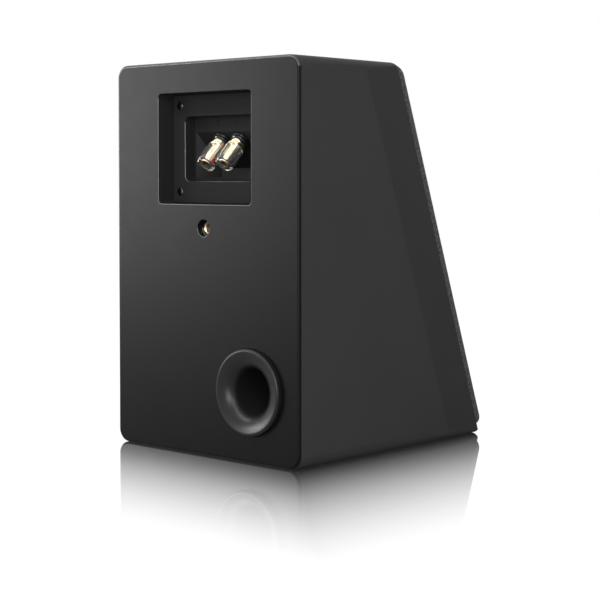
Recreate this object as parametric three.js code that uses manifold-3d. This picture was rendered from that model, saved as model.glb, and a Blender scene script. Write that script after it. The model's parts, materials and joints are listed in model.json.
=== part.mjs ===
// Two-way bookshelf speaker with a slanted baffle, a rear port and a pair of binding posts
// in a recess of its back. Millimetres, +Z up. The flat back faces +Y, and the baffle faces
// -Y and a little upwards. The origin is the centre of the overall box, at the base.
//
// Two frames are used below. The cabinet frame has y = 0 on the back's outer face and z = 0
// on the base. The baffle frame lies on the slanted front: x across, y up the slope from the
// bottom edge, z straight out of the baffle.

import * as THREE from "three";
import { mergeVertices } from "three/addons/utils/BufferGeometryUtils.js";
import Module from "manifold-3d";

const wasm = await Module();
wasm.setup();

// ---------------------------------------------------------------- driving dimensions

const GAP = 0.3; // clearance between two pieces that are fitted together

// Cabinet
const WIDTH = 190;
const HEIGHT = 290;
const DEPTH_BOTTOM = 216; // back face to baffle, at the base
const DEPTH_TOP = 110; // back face to baffle, at the top
const WALL = 15;
const CORNER_RADIUS = 10;
const CAVITY_RADIUS = 3;
const FACET_DEPTH = 40; // from the baffle's plane back to the crease of the side
const FACET_INSET = 3; // what the facet takes off each side at the front edge
const BAFFLE_THICKNESS = 20;
const BAFFLE_RIM = 7; // the shell's edge that shows at the baffle's sides
const BAFFLE_END_RIM = 13; // and at its top and bottom
const BAFFLE_CORNER = 6;
const REAR_THICKNESS = 15;
const REAR_LIP = 2.5; // full-size front layer of the rear panel
const REAR_EDGE_ROUND = 1.8;
const BRACE_RISE = 150;
const BRACE_THICKNESS = 12;
const BRACE_RIM = 12;
const PAD_THICKNESS = 12;
const PAD_ROOM = 5; // free edge round each damping pad

// Recess and terminal plate
const RECESS_WIDTH = 97;
const RECESS_HEIGHT = 82;
const RECESS_DROP = 64.2; // cabinet top to the middle of the recess
const RECESS_CORNER = 3;
const PLATE_FIT = 0.6;
const PLATE_THICKNESS = 3;
const GASKET_THICKNESS = 1;
const FRAME_CLEARANCE = 0.2; // backing frame to the cavity's roof
const FRAME_THICKNESS = 12;
const SCREW_INSET_X = 7.2; // recess edge to screw axis
const SCREW_INSET_Z = 8.5;
const SCREW_HEAD_RADIUS = 3.2;
const SCREW_SHANK_RADIUS = 1.4;
const SCREW_LENGTH = 11;

// Cup of the terminal plate
const CUP_WIDTH = 70;
const CUP_HEIGHT = 48.2;
const CUP_CORNER = 4;
const CUP_DEPTH = 10;
const CUP_WALL = 2.5;
const POCKET_WIDTH = 66;
const POCKET_DEPTH = 27; // from the cup's floor to the pocket's end
const POCKET_DROP = 11.4; // cup top to the start of the slope
const POCKET_FOOT = 2.6; // pocket floor above the cup's bottom edge

// Binding posts, sizes along the post's axis from the sloped wall
const POST_TURN = -0.75 * Math.PI; // the posts point out and down at 45 degrees
const POST_PITCH = 19;
const POST_DOWN_SLOPE = 7.7; // from the top of the slope to the post's axis
const STUD_RADIUS = 2.25;
const STUD_INSIDE = 13;
const STUD_OUTSIDE = 14;
const COLLAR_RADIUS = 7.2;
const COLLAR_HEIGHT = 4.6;
const FLANGE_RADIUS = 6;
const FLANGE_HEIGHT = 2;
const WASHER_HEIGHT = 1.2;
const NUT_RADIUS = 4.6;
const NUT_HEIGHT = 4;
const KNOB_LENGTH = 17.5;
const KNOB_FOOT_RADIUS = 7;
const KNOB_FOOT_HEIGHT = 1.6;
const KNOB_CORE_RADIUS = 4.3;
const SOCKET_RADIUS = 2;
const SLEEVE_RADIUS = 7.35;
const SLEEVE_BORE = 5.4;
const BAND_THICKNESS = 0.5;
const BAND_HEIGHT = 2.5;
const BAND_FROM_END = 2.4;
const BAND_OPENING = 0.41 * Math.PI; // the band is a split ring
const BAND_FACING = 1.3 * Math.PI; // where its opening faces, round the post's axis

// Threaded insert
const INSERT_BELOW_RECESS = 17.6;
const INSERT_RADIUS = 4.85;
const INSERT_BORE = 3.18;
const INSERT_DEPTH = 4.8;
const INSERT_LENGTH = 10;
const INSERT_COUNTERBORE = 6.15;

// Port
const PORT_OFFSET = 47; // to the left of the cabinet's middle, seen from the front
const PORT_RISE = 50.9;
const PORT_THROAT = 17;
const PORT_WALL = 2.2;
const PORT_LENGTH = 92;
const PORT_LIP_RADIUS = 31.5;
const PORT_LIP_PROUD = 4;
const PORT_LIP_SUNK = 1.5;
const PORT_LIP_ROUND = 2;
const PORT_FLARE_DEPTH = 13;
const PORT_SOCKET_START = 14;
const PORT_SOCKET_END = 30;
const INNER_FLARE_RADIUS = 27;
const INNER_FLARE_DEPTH = 12;

// Woofer, heights along its axis from the baffle's face
const WOOFER_RISE = 98.5; // up the slope from the bottom edge
const WOOFER_RADIUS = 67.5;
const WOOFER_CUTOUT = 59;
const WOOFER_SEAT = 6;
const WOOFER_FLANGE = 2.2;
const CONE_RADIUS = 49;
const CONE_DEPTH = 18;
const CONE_THICKNESS = 1.2;
const CONE_BOW = 1.2; // how far the cone's wall curves in behind a straight one
const CONE_EDGE_SUNK = 5.7;
const COIL_RADIUS = 13.1;
const COIL_THICKNESS = 0.4; // of the former that carries the winding
const WINDING_THICKNESS = 0.7;
const WINDING_OVERHANG = 1.5; // the winding past each face of the top plate
const COIL_AIR_GAP = 0.5; // winding to the top plate
const POLE_CLEARANCE = 0.067; // pole to the middles of the former's facets
const DUST_CAP_OVERLAP = 4; // cap radius beyond the cone's neck
const DUST_CAP_HEIGHT = 7;
const SURROUND_THICKNESS = 0.9;
const SURROUND_LAND = 2.5; // width glued to the cone's edge
const SURROUND_GLUE = 3; // basket edge to the surround's outer edge
const SPIDER_THICKNESS = 0.8;
const SPIDER_WAVES = 3;
const SPIDER_WAVE_HEIGHT = 2.2;
const BASKET_WALL = 2;
const BASKET_DEPTH = 48;
const BASKET_LEDGE = 10; // spider's ledge above the basket's foot
const BASKET_FLOOR = 3;
const BASKET_FOOT_RADIUS = 40;
const BASKET_LEDGE_WIDTH = 8;
const BASKET_FLARE = 4; // ledge radius beyond the foot
const BASKET_WINDOWS = 6;
const BASKET_WINDOW_MARGIN = 5; // above the ledge
const BASKET_TAB = [8, 10, 6]; // tag strip that the lead is soldered to
const TRIM_CHAMFER = 0.8;
const TRIM_PROUD = 0.2;
const TOP_PLATE_THICKNESS = 5;
const WOOFER_PLATE_RADIUS = 38;
const WOOFER_MAGNET_RADIUS = 40;
const WOOFER_MAGNET_BORE = 20.4;
const WOOFER_MAGNET_THICKNESS = 13;
const YOKE_THICKNESS = 5;
const POLE_VENT_RADIUS = 4;

// Tweeter
const TWEETER_DROP = 83.1; // down the slope from the top edge
const TWEETER_RADIUS = 52;
const TWEETER_CUTOUT = 38;
const TWEETER_FLANGE = 3.7;
const TWEETER_DEPTH = 12.4; // faceplate's face to the magnet
const HORN_DEPTH = 10.5;
const HORN_RIM = 8; // faceplate edge to the horn's mouth
const HORN_THROAT = 16;
const DOME_RADIUS = 12.7;
const DOME_HEIGHT = 5;
const DOME_THICKNESS = 0.6;
const DOME_ROLL = 0.9; // height of the dome's own surround
const TWEETER_COIL_THICKNESS = 0.6;
const TWEETER_COIL_LENGTH = 7; // into the magnet's gap
const TWEETER_MAGNET_RADIUS = 33;
const TWEETER_MAGNET_THICKNESS = 15;
const TWEETER_BACK_RADIUS = 31;
const TWEETER_BACK_THICKNESS = 4;

// Grille
const GRILLE_INSET = 1.2; // from the baffle's side edges
const GRILLE_END_INSET = 3.6; // from its top and bottom edges
const GRILLE_THICKNESS = 7.1;
const GRILLE_STANDOFF = 0.4;
const GRILLE_CORNER = 9;
const CLOTH_THICKNESS = 0.8;
const GRILLE_BAR = 16;
const GRILLE_CROSSBAR = 11;
const PEG_RADIUS = 3;
const PEG_LENGTH = 9.2;
const PEG_INSET_X = 14.5;
const PEG_INSET_Y = 22;
const PEG_CUP_RADIUS = 5;

// Crossover
const BOARD_SIZE = [88, 62];
const BOARD_THICKNESS = 1.6;
const BOARD_STANDOFF = 5;
const BOARD_CENTRE_X = 32;
const BOARD_FROM_BACK = 22; // rear face's inner side to the board
const BOARD_LEG_RADIUS = 3;
const BOARD_LEG_INSET = 6;
const BASS_INDUCTOR = { radius: 20, bore: 9, height: 19, place: [-21, 6] };
const TREBLE_INDUCTOR = { radius: 13, bore: 6, height: 13, place: [24, 14] };
const CAPACITOR = { radius: 9, length: 36, place: [22, -10] };
const RESISTOR = { size: [34, 8, 8], place: [-20, -24] };
const LEAD_RADIUS = 1.6;
const LEAD_INSET = 5; // board edge to a lead's solder joint

// Facets of round forms
const FINE = 24;
const MEDIUM = 12;
const SMALL = 10;

// ---------------------------------------------------------------- derived sizes

const SLANT = Math.atan((DEPTH_BOTTOM - DEPTH_TOP) / HEIGHT);
const SLOPE_LENGTH = HEIGHT / Math.cos(SLANT);
const FRONT_HALF = WIDTH / 2 - FACET_INSET;
const RECESS_Z = HEIGHT - RECESS_DROP;
const CUP_TOP = RECESS_Z + CUP_HEIGHT / 2;
const CUP_BOTTOM = RECESS_Z - CUP_HEIGHT / 2;
const CUP_FLOOR_Y = -(REAR_THICKNESS + CUP_DEPTH);
const SLOPE_TOP_Z = CUP_TOP - POCKET_DROP;
const POST_SHIFT = POST_DOWN_SLOPE * Math.SQRT1_2;
const INSERT_Z = RECESS_Z - RECESS_HEIGHT / 2 - INSERT_BELOW_RECESS;
const TWEETER_RISE = SLOPE_LENGTH - TWEETER_DROP;
const STUD_BORE = STUD_RADIUS + GAP;
const PLATE_BACK = REAR_THICKNESS + PLATE_THICKNESS;
const FRAME_MARGIN = RECESS_DROP - RECESS_HEIGHT / 2 - WALL - FRAME_CLEARANCE;
const FRAME_SEAT = PLATE_BACK + GASKET_THICKNESS + 2 * GAP;
const BIG = 2 * (WIDTH + HEIGHT); // larger than the whole object, for cutting tools

// ---------------------------------------------------------------- finishes

const FINISHES = {
  satinBlack: { color: 0x2b2b2c, roughness: 0.5, metalness: 0 },
  board: { color: 0x7a6148, roughness: 0.85, metalness: 0 },
  blackPlastic: { color: 0x1c1c1d, roughness: 0.45, metalness: 0 },
  darkSteel: { color: 0x1a1a1b, roughness: 0.35, metalness: 0.6 },
  zincSteel: { color: 0xa9aaac, roughness: 0.35, metalness: 1 },
  gold: { color: 0xd8b56a, roughness: 0.2, metalness: 1 },
  brass: { color: 0xb89446, roughness: 0.3, metalness: 1 },
  clear: { color: 0xe8eced, roughness: 0.05, metalness: 0, transparent: true, opacity: 0.35 },
  redBand: { color: 0xc8201c, roughness: 0.4, metalness: 0 },
  blackBand: { color: 0x121212, roughness: 0.4, metalness: 0 },
  rubber: { color: 0x161616, roughness: 0.7, metalness: 0 },
  cone: { color: 0x202124, roughness: 0.55, metalness: 0 },
  silk: { color: 0x18181a, roughness: 0.6, metalness: 0 },
  spider: { color: 0xb4873a, roughness: 0.9, metalness: 0 },
  ferrite: { color: 0x303134, roughness: 0.8, metalness: 0 },
  copper: { color: 0xa9592b, roughness: 0.35, metalness: 1 },
  wadding: { color: 0xd9d7d0, roughness: 1, metalness: 0 },
  circuit: { color: 0x2c5a3a, roughness: 0.5, metalness: 0 },
  film: { color: 0xc9a227, roughness: 0.4, metalness: 0 },
  ceramic: { color: 0xd8d4c8, roughness: 0.8, metalness: 0 },
  cloth: { color: 0x2c2c2e, roughness: 0.95, metalness: 0 },
  lead: { color: 0x30241f, roughness: 0.6, metalness: 0 },
};

const materials = new Map(
  Object.entries(FINISHES).map(([name, look]) => [name, new THREE.MeshStandardMaterial(look)]),
);

// ---------------------------------------------------------------- solids by cutting and joining

function solidOf(geometry) {
  const bare = geometry.index ? geometry.toNonIndexed() : geometry.clone();
  bare.deleteAttribute("normal");
  bare.deleteAttribute("uv");
  const merged = mergeVertices(bare, 1e-4);
  const corners = [];
  for (let i = 0; i < merged.index.count; i += 3) {
    const [a, b, c] = [0, 1, 2].map((k) => merged.index.getX(i + k));
    if (a !== b && b !== c && c !== a) corners.push(a, b, c);
  }
  const vertProperties = merged.attributes.position.array;
  const triVerts = new Uint32Array(corners);
  return new wasm.Manifold(new wasm.Mesh({ numProp: 3, vertProperties, triVerts }));
}

function geometryOf(solid) {
  const mesh = solid.getMesh();
  const geometry = new THREE.BufferGeometry();
  geometry.setAttribute("position", new THREE.BufferAttribute(mesh.vertProperties, 3));
  geometry.setIndex(new THREE.BufferAttribute(mesh.triVerts, 1));
  return geometry;
}

function combine(operation, base, others) {
  return geometryOf(others.reduce((sum, other) => sum[operation](solidOf(other)), solidOf(base)));
}

const cut = (base, ...tools) => combine("subtract", base, tools);
const join = (base, ...others) => combine("add", base, others);

// ---------------------------------------------------------------- outlines and basic forms

function roundedRect(width, height, radius, centreX = 0, centreY = 0) {
  const x = width / 2 - radius;
  const y = height / 2 - radius;
  const shape = new THREE.Shape();
  [[x, y], [-x, y], [-x, -y], [x, -y]].forEach(([dx, dy], quarter) => {
    const start = (quarter * Math.PI) / 2;
    shape.absarc(centreX + dx, centreY + dy, radius, start, start + Math.PI / 2);
  });
  return shape;
}

function polygon(points) {
  return new THREE.Shape(points.map(([x, y]) => new THREE.Vector2(x, y)));
}

// An outline extruded along +Z from height low to height high.
function slab(shape, low, high, curveSegments = 6) {
  const settings = { depth: high - low, bevelEnabled: false, curveSegments };
  return new THREE.ExtrudeGeometry(shape, settings).translate(0, 0, low);
}

// An outline of the XZ plane, extruded along Y from the rear side at back to the side at front.
function upright(shape, back, front, curveSegments = 6) {
  return slab(shape, -back, -front, curveSegments).rotateX(Math.PI / 2);
}

// A side profile of the YZ plane, extruded along X.
function sideways(points, low, high) {
  const turn = new THREE.Matrix4().makeBasis(
    new THREE.Vector3(0, 1, 0),
    new THREE.Vector3(0, 0, 1),
    new THREE.Vector3(1, 0, 0),
  );
  return slab(polygon(points), low, high).applyMatrix4(turn);
}

// A closed profile of [radius, height] points, turned round the Y axis.
function turnedOnY(profile, segments = MEDIUM) {
  const points = profile.map(([radius, height]) => new THREE.Vector2(radius, height));
  const loop = [...points, points[0]];
  if (THREE.ShapeUtils.area(points) < 0) loop.reverse();
  return new THREE.LatheGeometry(loop, segments);
}

// The same profile turned round the Z axis.
function turned(profile, segments = MEDIUM) {
  return turnedOnY(profile, segments).rotateX(Math.PI / 2);
}

function ring(inner, outer, low, high, segments = MEDIUM) {
  return turned([[inner, low], [outer, low], [outer, high], [inner, high]], segments);
}

function disc(radius, low, high, segments = MEDIUM) {
  return turned([[0, low], [radius, low], [radius, high], [0, high]], segments);
}

// A drill along Y, at a place of the back.
function drill(radius, back, front, x, z, segments = MEDIUM) {
  const profile = [[0, front], [radius, front], [radius, back], [0, back]];
  return turnedOnY(profile, segments).translate(x, 0, z);
}

function arc([centreX, centreY], [radiusX, radiusY], from, to, steps) {
  return Array.from({ length: steps + 1 }, (_, i) => {
    const angle = from + ((to - from) * i) / steps;
    return [centreX + radiusX * Math.cos(angle), centreY + radiusY * Math.sin(angle)];
  });
}

function tubeAlong(points, radius, steps) {
  const path = new THREE.CatmullRomCurve3(points.map((p) => new THREE.Vector3(...p)));
  const section = new THREE.Shape().absarc(0, 0, radius, 0, 2 * Math.PI);
  const settings = { extrudePath: path, steps, curveSegments: 3, bevelEnabled: false };
  return new THREE.ExtrudeGeometry(section, settings);
}

// ---------------------------------------------------------------- frames

const speaker = new THREE.Group();
const bafflePlace = new THREE.Matrix4()
  .makeRotationX(Math.PI / 2 - SLANT)
  .setPosition(0, -DEPTH_BOTTOM, 0);

function frameAt(parent, x, y, z, turnX = 0) {
  const group = new THREE.Group();
  group.position.set(x, y, z);
  group.rotation.x = turnX;
  parent.add(group);
  return group;
}

const baffleFrame = frameAt(speaker, 0, -DEPTH_BOTTOM, 0, Math.PI / 2 - SLANT);
const wooferFrame = frameAt(baffleFrame, 0, WOOFER_RISE, 0);
const tweeterFrame = frameAt(baffleFrame, 0, TWEETER_RISE, 0);

function add(parent, name, geometry, finish) {
  const shown = geometry.index ? geometry.toNonIndexed() : geometry;
  shown.computeVertexNormals();
  const mesh = new THREE.Mesh(shown, materials.get(finish));
  mesh.name = name;
  parent.add(mesh);
}

// A place of the baffle frame, in the cabinet frame.
function onBaffle(x, up, out) {
  return new THREE.Vector3(x, up, out).applyMatrix4(bafflePlace).toArray();
}

// The y of the baffle's inner face at a height of the cabinet, less a clearance.
function insideBaffle(z, clearance) {
  const along = BAFFLE_THICKNESS + clearance;
  return -DEPTH_BOTTOM + z * Math.tan(SLANT) + along / Math.cos(SLANT);
}

// ---------------------------------------------------------------- cabinet

function facetTool(side) {
  const edge = (side * WIDTH) / 2;
  const inset = (side * FACET_INSET) / FACET_DEPTH;
  const past = 5;
  const profile = polygon([
    [edge, -FACET_DEPTH],
    [edge + side * past, -FACET_DEPTH],
    [edge + side * past, past],
    [edge - inset * (FACET_DEPTH + past), past],
  ]);
  return slab(profile, -BIG / 2, BIG / 2).rotateX(Math.PI / 2).applyMatrix4(bafflePlace);
}

function pocketOutline(clearance) {
  const across = 2 * (FRONT_HALF - BAFFLE_RIM - clearance);
  const along = SLOPE_LENGTH - 2 * (BAFFLE_END_RIM + clearance);
  return roundedRect(across, along, BAFFLE_CORNER - clearance, 0, SLOPE_LENGTH / 2);
}

function cavityOutline(clearance) {
  const inset = 2 * (WALL + clearance);
  const radius = CAVITY_RADIUS - clearance;
  return roundedRect(WIDTH - inset, HEIGHT - inset, radius, 0, HEIGHT / 2);
}

function buildShell() {
  const outline = roundedRect(WIDTH, HEIGHT, CORNER_RADIUS, 0, HEIGHT / 2);
  const block = upright(outline, -(REAR_LIP + GAP), -DEPTH_BOTTOM);
  const cavity = upright(cavityOutline(0), 1, -DEPTH_BOTTOM - 1);
  const ahead = new THREE.BoxGeometry(BIG, BIG, BIG).translate(0, 0, BIG / 2);
  const pocket = slab(pocketOutline(0), -BAFFLE_THICKNESS, 1);
  return cut(
    block,
    cavity,
    ahead.applyMatrix4(bafflePlace),
    pocket.applyMatrix4(bafflePlace),
    facetTool(1),
    facetTool(-1),
  );
}

function buildRearPanel() {
  const round = REAR_EDGE_ROUND;
  const small = roundedRect(
    WIDTH - 2 * round,
    HEIGHT - 2 * round,
    CORNER_RADIUS - round,
    0,
    HEIGHT / 2,
  );
  const settings = {
    depth: REAR_LIP,
    bevelEnabled: true,
    bevelThickness: round,
    bevelSize: round,
    bevelSegments: 2,
    curveSegments: 6,
  };
  const pillow = new THREE.ExtrudeGeometry(small, settings)
    .rotateX(Math.PI / 2)
    .translate(0, -round, 0);
  const behindLip = new THREE.BoxGeometry(BIG, BIG, BIG).translate(0, -REAR_LIP - BIG / 2, 0);
  const lip = cut(pillow, behindLip);
  const core = upright(cavityOutline(GAP), -REAR_LIP / 2, -REAR_THICKNESS);
  const recess = roundedRect(RECESS_WIDTH, RECESS_HEIGHT, RECESS_CORNER, 0, RECESS_Z);
  const through = -REAR_THICKNESS - 1;
  return cut(
    join(lip, core),
    upright(recess, 1, through, 4),
    drill(INSERT_COUNTERBORE, 1, -INSERT_DEPTH, 0, INSERT_Z, MEDIUM),
    drill(INSERT_RADIUS + GAP, 1, through, 0, INSERT_Z, MEDIUM),
    drill(PORT_LIP_RADIUS + GAP, 1, -PORT_LIP_SUNK, -PORT_OFFSET, PORT_RISE, FINE),
    drill(socketRadius() + PORT_WALL + GAP, 1, through, -PORT_OFFSET, PORT_RISE, FINE),
  );
}

function buildBrace() {
  const low = BRACE_RISE;
  const high = BRACE_RISE + BRACE_THICKNESS;
  const half = WIDTH / 2 - WALL - GAP;
  const back = -REAR_THICKNESS - GAP;
  const profile = [
    [back, low],
    [back, high],
    [insideBaffle(high, GAP), high],
    [insideBaffle(low, GAP), low],
  ];
  const front = insideBaffle(high, GAP) + BRACE_RIM;
  const windowDepth = back - BRACE_RIM - front;
  const windowWidth = half - 1.5 * BRACE_RIM;
  const windows = [1, -1].map((side) => {
    const x = (side * (windowWidth + BRACE_RIM)) / 2;
    const y = (front + back - BRACE_RIM) / 2;
    const outline = roundedRect(windowWidth, windowDepth, BRACE_RIM / 2, x, y);
    return slab(outline, low - 1, high + 1, 4);
  });
  return cut(sideways(profile, -half, half), ...windows);
}

function addDamping() {
  const low = BRACE_RISE + BRACE_THICKNESS + PAD_ROOM;
  const high = HEIGHT - WALL - PAD_ROOM;
  const back = -REAR_THICKNESS - PAD_ROOM;
  const profile = [
    [back, low],
    [back, high],
    [insideBaffle(high, PAD_ROOM), high],
    [insideBaffle(low, PAD_ROOM), low],
  ];
  const inner = WIDTH / 2 - WALL - GAP;
  add(speaker, "damping_pad_left", sideways(profile, -inner, PAD_THICKNESS - inner), "wadding");
  add(speaker, "damping_pad_right", sideways(profile, inner - PAD_THICKNESS, inner), "wadding");
  const roof = HEIGHT - WALL - GAP;
  const topLow = roof - PAD_THICKNESS;
  const topBack = -REAR_THICKNESS - FRAME_THICKNESS - PAD_ROOM;
  const topProfile = [
    [topBack, topLow],
    [topBack, roof],
    [insideBaffle(roof, PAD_ROOM), roof],
    [insideBaffle(topLow, PAD_ROOM), topLow],
  ];
  const half = inner - PAD_THICKNESS - GAP;
  add(speaker, "damping_pad_top", sideways(topProfile, -half, half), "wadding");
}

function addCabinet() {
  add(speaker, "cabinet_shell", buildShell(), "satinBlack");
  add(speaker, "rear_panel", buildRearPanel(), "satinBlack");
  add(speaker, "window_brace", buildBrace(), "board");
  addDamping();
}

// ---------------------------------------------------------------- baffle and its peg cups

function pegPlaces() {
  const x = FRONT_HALF - PEG_INSET_X;
  const low = PEG_INSET_Y;
  const high = SLOPE_LENGTH - PEG_INSET_Y;
  return [[-x, low], [x, low], [-x, high], [x, high]];
}

function addBaffle() {
  const cupDepth = PEG_LENGTH + 1.2;
  const holes = pegPlaces().map(([x, y]) =>
    disc(PEG_CUP_RADIUS + GAP, -cupDepth - GAP, 1, SMALL).translate(x, y, 0),
  );
  const board = slab(pocketOutline(GAP), -BAFFLE_THICKNESS + GAP, 0);
  const under = -BAFFLE_THICKNESS - 1;
  const baffle = cut(
    board,
    disc(WOOFER_CUTOUT, under, 1, FINE).translate(0, WOOFER_RISE, 0),
    disc(WOOFER_RADIUS + GAP, -WOOFER_SEAT, 1, FINE).translate(0, WOOFER_RISE, 0),
    disc(TWEETER_CUTOUT, under, 1, FINE).translate(0, TWEETER_RISE, 0),
    disc(TWEETER_RADIUS + GAP, -TWEETER_FLANGE - GAP, 1, FINE).translate(0, TWEETER_RISE, 0),
    ...holes,
  );
  add(baffleFrame, "front_baffle", baffle, "satinBlack");
  const bore = PEG_RADIUS + GAP;
  const profile = [
    [0, -cupDepth],
    [PEG_CUP_RADIUS, -cupDepth],
    [PEG_CUP_RADIUS, -GAP / 2],
    [bore, -GAP / 2],
    [bore, -PEG_LENGTH - GAP],
    [0, -PEG_LENGTH - GAP],
  ];
  pegPlaces().forEach(([x, y], i) => {
    const cup = turned(profile, SMALL).translate(x, y, 0);
    add(baffleFrame, `grille_cup_${i + 1}`, cup, "rubber");
  });
}

// ---------------------------------------------------------------- terminal plate and cup

function screwPlaces() {
  const x = RECESS_WIDTH / 2 - SCREW_INSET_X;
  const z = RECESS_HEIGHT / 2 - SCREW_INSET_Z;
  return [[-x, RECESS_Z - z], [x, RECESS_Z - z], [-x, RECESS_Z + z], [x, RECESS_Z + z]];
}

// The recess outline, smaller by an inset on every side.
function recessOutline(inset) {
  const radius = Math.max(RECESS_CORNER - inset, 1);
  return roundedRect(RECESS_WIDTH - 2 * inset, RECESS_HEIGHT - 2 * inset, radius, 0, RECESS_Z);
}

// The cup's outline in the plate, larger by a margin on every side.
function cupOutline(margin) {
  const radius = CUP_CORNER + margin;
  return roundedRect(CUP_WIDTH + 2 * margin, CUP_HEIGHT + 2 * margin, radius, 0, RECESS_Z);
}

// The pocket behind the cup's floor: its sloped roof faces down and out at 45 degrees.
function pocketForm(margin) {
  const end = CUP_FLOOR_Y - POCKET_DEPTH;
  const floor = CUP_BOTTOM + POCKET_FOOT;
  const rise = margin * Math.SQRT2;
  const mouth = CUP_FLOOR_Y + 1;
  const half = POCKET_WIDTH / 2 + margin;
  const profile = [
    [mouth, floor - margin],
    [mouth, SLOPE_TOP_Z + rise + 1],
    [end - margin, SLOPE_TOP_Z - POCKET_DEPTH + rise - margin],
    [end - margin, floor - margin],
  ];
  return sideways(profile, -half, half);
}

function postPlace(side) {
  const x = (side * POST_PITCH) / 2;
  return [x, CUP_FLOOR_Y - POST_SHIFT, SLOPE_TOP_Z - POST_SHIFT];
}

function addTerminalPlate() {
  const face = -REAR_THICKNESS;
  const plate = upright(recessOutline(PLATE_FIT), face, -PLATE_BACK, 4);
  const cup = upright(cupOutline(CUP_WALL), face - 1, CUP_FLOOR_Y - CUP_WALL, 4);
  const hollow = join(upright(cupOutline(0), face + 1, CUP_FLOOR_Y, 4), pocketForm(0));
  const sinks = screwPlaces().map(([x, z]) =>
    screwForm(GAP, SCREW_LENGTH, 1).translate(x, face, z),
  );
  const bores = [1, -1].map((side) => {
    const hole = disc(STUD_BORE, -2 * CUP_WALL, CUP_WALL, SMALL).rotateX(POST_TURN);
    return hole.translate(...postPlace(side));
  });
  const body = join(plate, cup, pocketForm(CUP_WALL));
  add(speaker, "terminal_cup", cut(body, hollow, ...sinks, ...bores), "blackPlastic");

  const seat = -PLATE_BACK - GAP;
  const shafts = screwPlaces().map(([x, z]) =>
    drill(SCREW_SHANK_RADIUS + GAP, seat + 1, -BIG, x, z, SMALL),
  );
  const gasket = cut(
    upright(recessOutline(2 * PLATE_FIT), seat, seat - GASKET_THICKNESS, 4),
    upright(cupOutline(CUP_WALL + 2 * GAP), seat + 1, seat - GASKET_THICKNESS - 1, 4),
    ...shafts,
  );
  add(speaker, "terminal_gasket", gasket, "rubber");

  const frameBack = face - GAP;
  const frameFront = frameBack - FRAME_THICKNESS;
  const frame = cut(
    upright(recessOutline(-FRAME_MARGIN), frameBack, frameFront, 4),
    upright(recessOutline(0), frameBack + 1, -FRAME_SEAT, 4),
    upright(cupOutline(CUP_WALL + 2 * GAP), frameBack, frameFront - 1, 4),
    ...shafts,
  );
  add(speaker, "terminal_backing_frame", frame, "board");

  screwPlaces().forEach(([x, z], i) => {
    const screw = screwForm(0, SCREW_LENGTH, -GAP).translate(x, face, z);
    add(speaker, `terminal_screw_${i + 1}`, screw, "darkSteel");
  });
}

// A countersunk screw along -Y from the plate's face, or its hole when a clearance is given.
function screwForm(clearance, length, top) {
  const head = SCREW_HEAD_RADIUS + clearance;
  const shank = SCREW_SHANK_RADIUS + clearance;
  const neck = -(SCREW_HEAD_RADIUS - SCREW_SHANK_RADIUS);
  const profile = [[0, -length], [shank, -length], [shank, neck], [head, 0]];
  const cap = top > 0 ? [[head, top], [0, top]] : [[head + top, top], [0, top]];
  const points = top > 0 ? [...profile, ...cap] : [...profile.slice(0, 3), ...cap];
  return turnedOnY(points, SMALL);
}

// ---------------------------------------------------------------- binding posts

function addPost(side, name) {
  const frame = frameAt(speaker, ...postPlace(side), POST_TURN);
  const flangeLow = GAP + COLLAR_HEIGHT + GAP;
  const flangeHigh = flangeLow + FLANGE_HEIGHT;
  const washerLow = flangeHigh + GAP;
  const washerHigh = washerLow + WASHER_HEIGHT;
  const knobLow = washerHigh + GAP;
  const knobHigh = knobLow + KNOB_LENGTH;
  const footHigh = knobLow + KNOB_FOOT_HEIGHT;
  const bandHigh = knobHigh - BAND_FROM_END;

  const collar = ring(STUD_BORE, COLLAR_RADIUS, GAP, GAP + COLLAR_HEIGHT, MEDIUM);
  add(frame, `post_collar_${name}`, collar, "blackPlastic");

  const stud = turned([
    [0, -STUD_INSIDE],
    [STUD_RADIUS, -STUD_INSIDE],
    [STUD_RADIUS, flangeLow],
    [FLANGE_RADIUS, flangeLow],
    [FLANGE_RADIUS, flangeHigh],
    [STUD_RADIUS, flangeHigh],
    [STUD_RADIUS, STUD_OUTSIDE],
    [0, STUD_OUTSIDE],
  ]);
  add(frame, `post_stud_${name}`, stud, "gold");

  const nutHigh = -CUP_WALL - GAP;
  const nutLow = nutHigh - NUT_HEIGHT;
  const hexagon = disc(NUT_RADIUS, nutLow, nutHigh, 6);
  const nut = cut(hexagon, disc(STUD_BORE, nutLow - 1, nutHigh + 1, SMALL));
  add(frame, `post_nut_${name}`, nut, "zincSteel");

  const washer = ring(STUD_BORE, FLANGE_RADIUS, washerLow, washerHigh);
  add(frame, `post_washer_${name}`, washer, "gold");

  const core = turned([
    [STUD_BORE, knobLow],
    [KNOB_FOOT_RADIUS, knobLow],
    [KNOB_FOOT_RADIUS, footHigh],
    [KNOB_CORE_RADIUS, footHigh],
    [KNOB_CORE_RADIUS, knobHigh],
    [SOCKET_RADIUS, knobHigh],
    [SOCKET_RADIUS, STUD_OUTSIDE + GAP],
    [STUD_BORE, STUD_OUTSIDE + GAP],
  ]);
  add(frame, `post_core_${name}`, core, "gold");

  const sleeve = ring(SLEEVE_BORE, SLEEVE_RADIUS, footHigh + GAP, knobHigh + GAP);
  add(frame, `post_sleeve_${name}`, sleeve, "clear");

  const bandInner = KNOB_CORE_RADIUS + GAP;
  const bandOuter = bandInner + BAND_THICKNESS;
  const bandStart = BAND_FACING + BAND_OPENING / 2;
  const bandEnd = BAND_FACING - BAND_OPENING / 2 + 2 * Math.PI;
  const splitRing = polygon([
    ...arc([0, 0], [bandOuter, bandOuter], bandStart, bandEnd, SMALL),
    ...arc([0, 0], [bandInner, bandInner], bandEnd, bandStart, SMALL),
  ]);
  const band = slab(splitRing, bandHigh - BAND_HEIGHT, bandHigh);
  add(frame, `post_band_${name}`, band, name === "plus" ? "redBand" : "blackBand");
}

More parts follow.
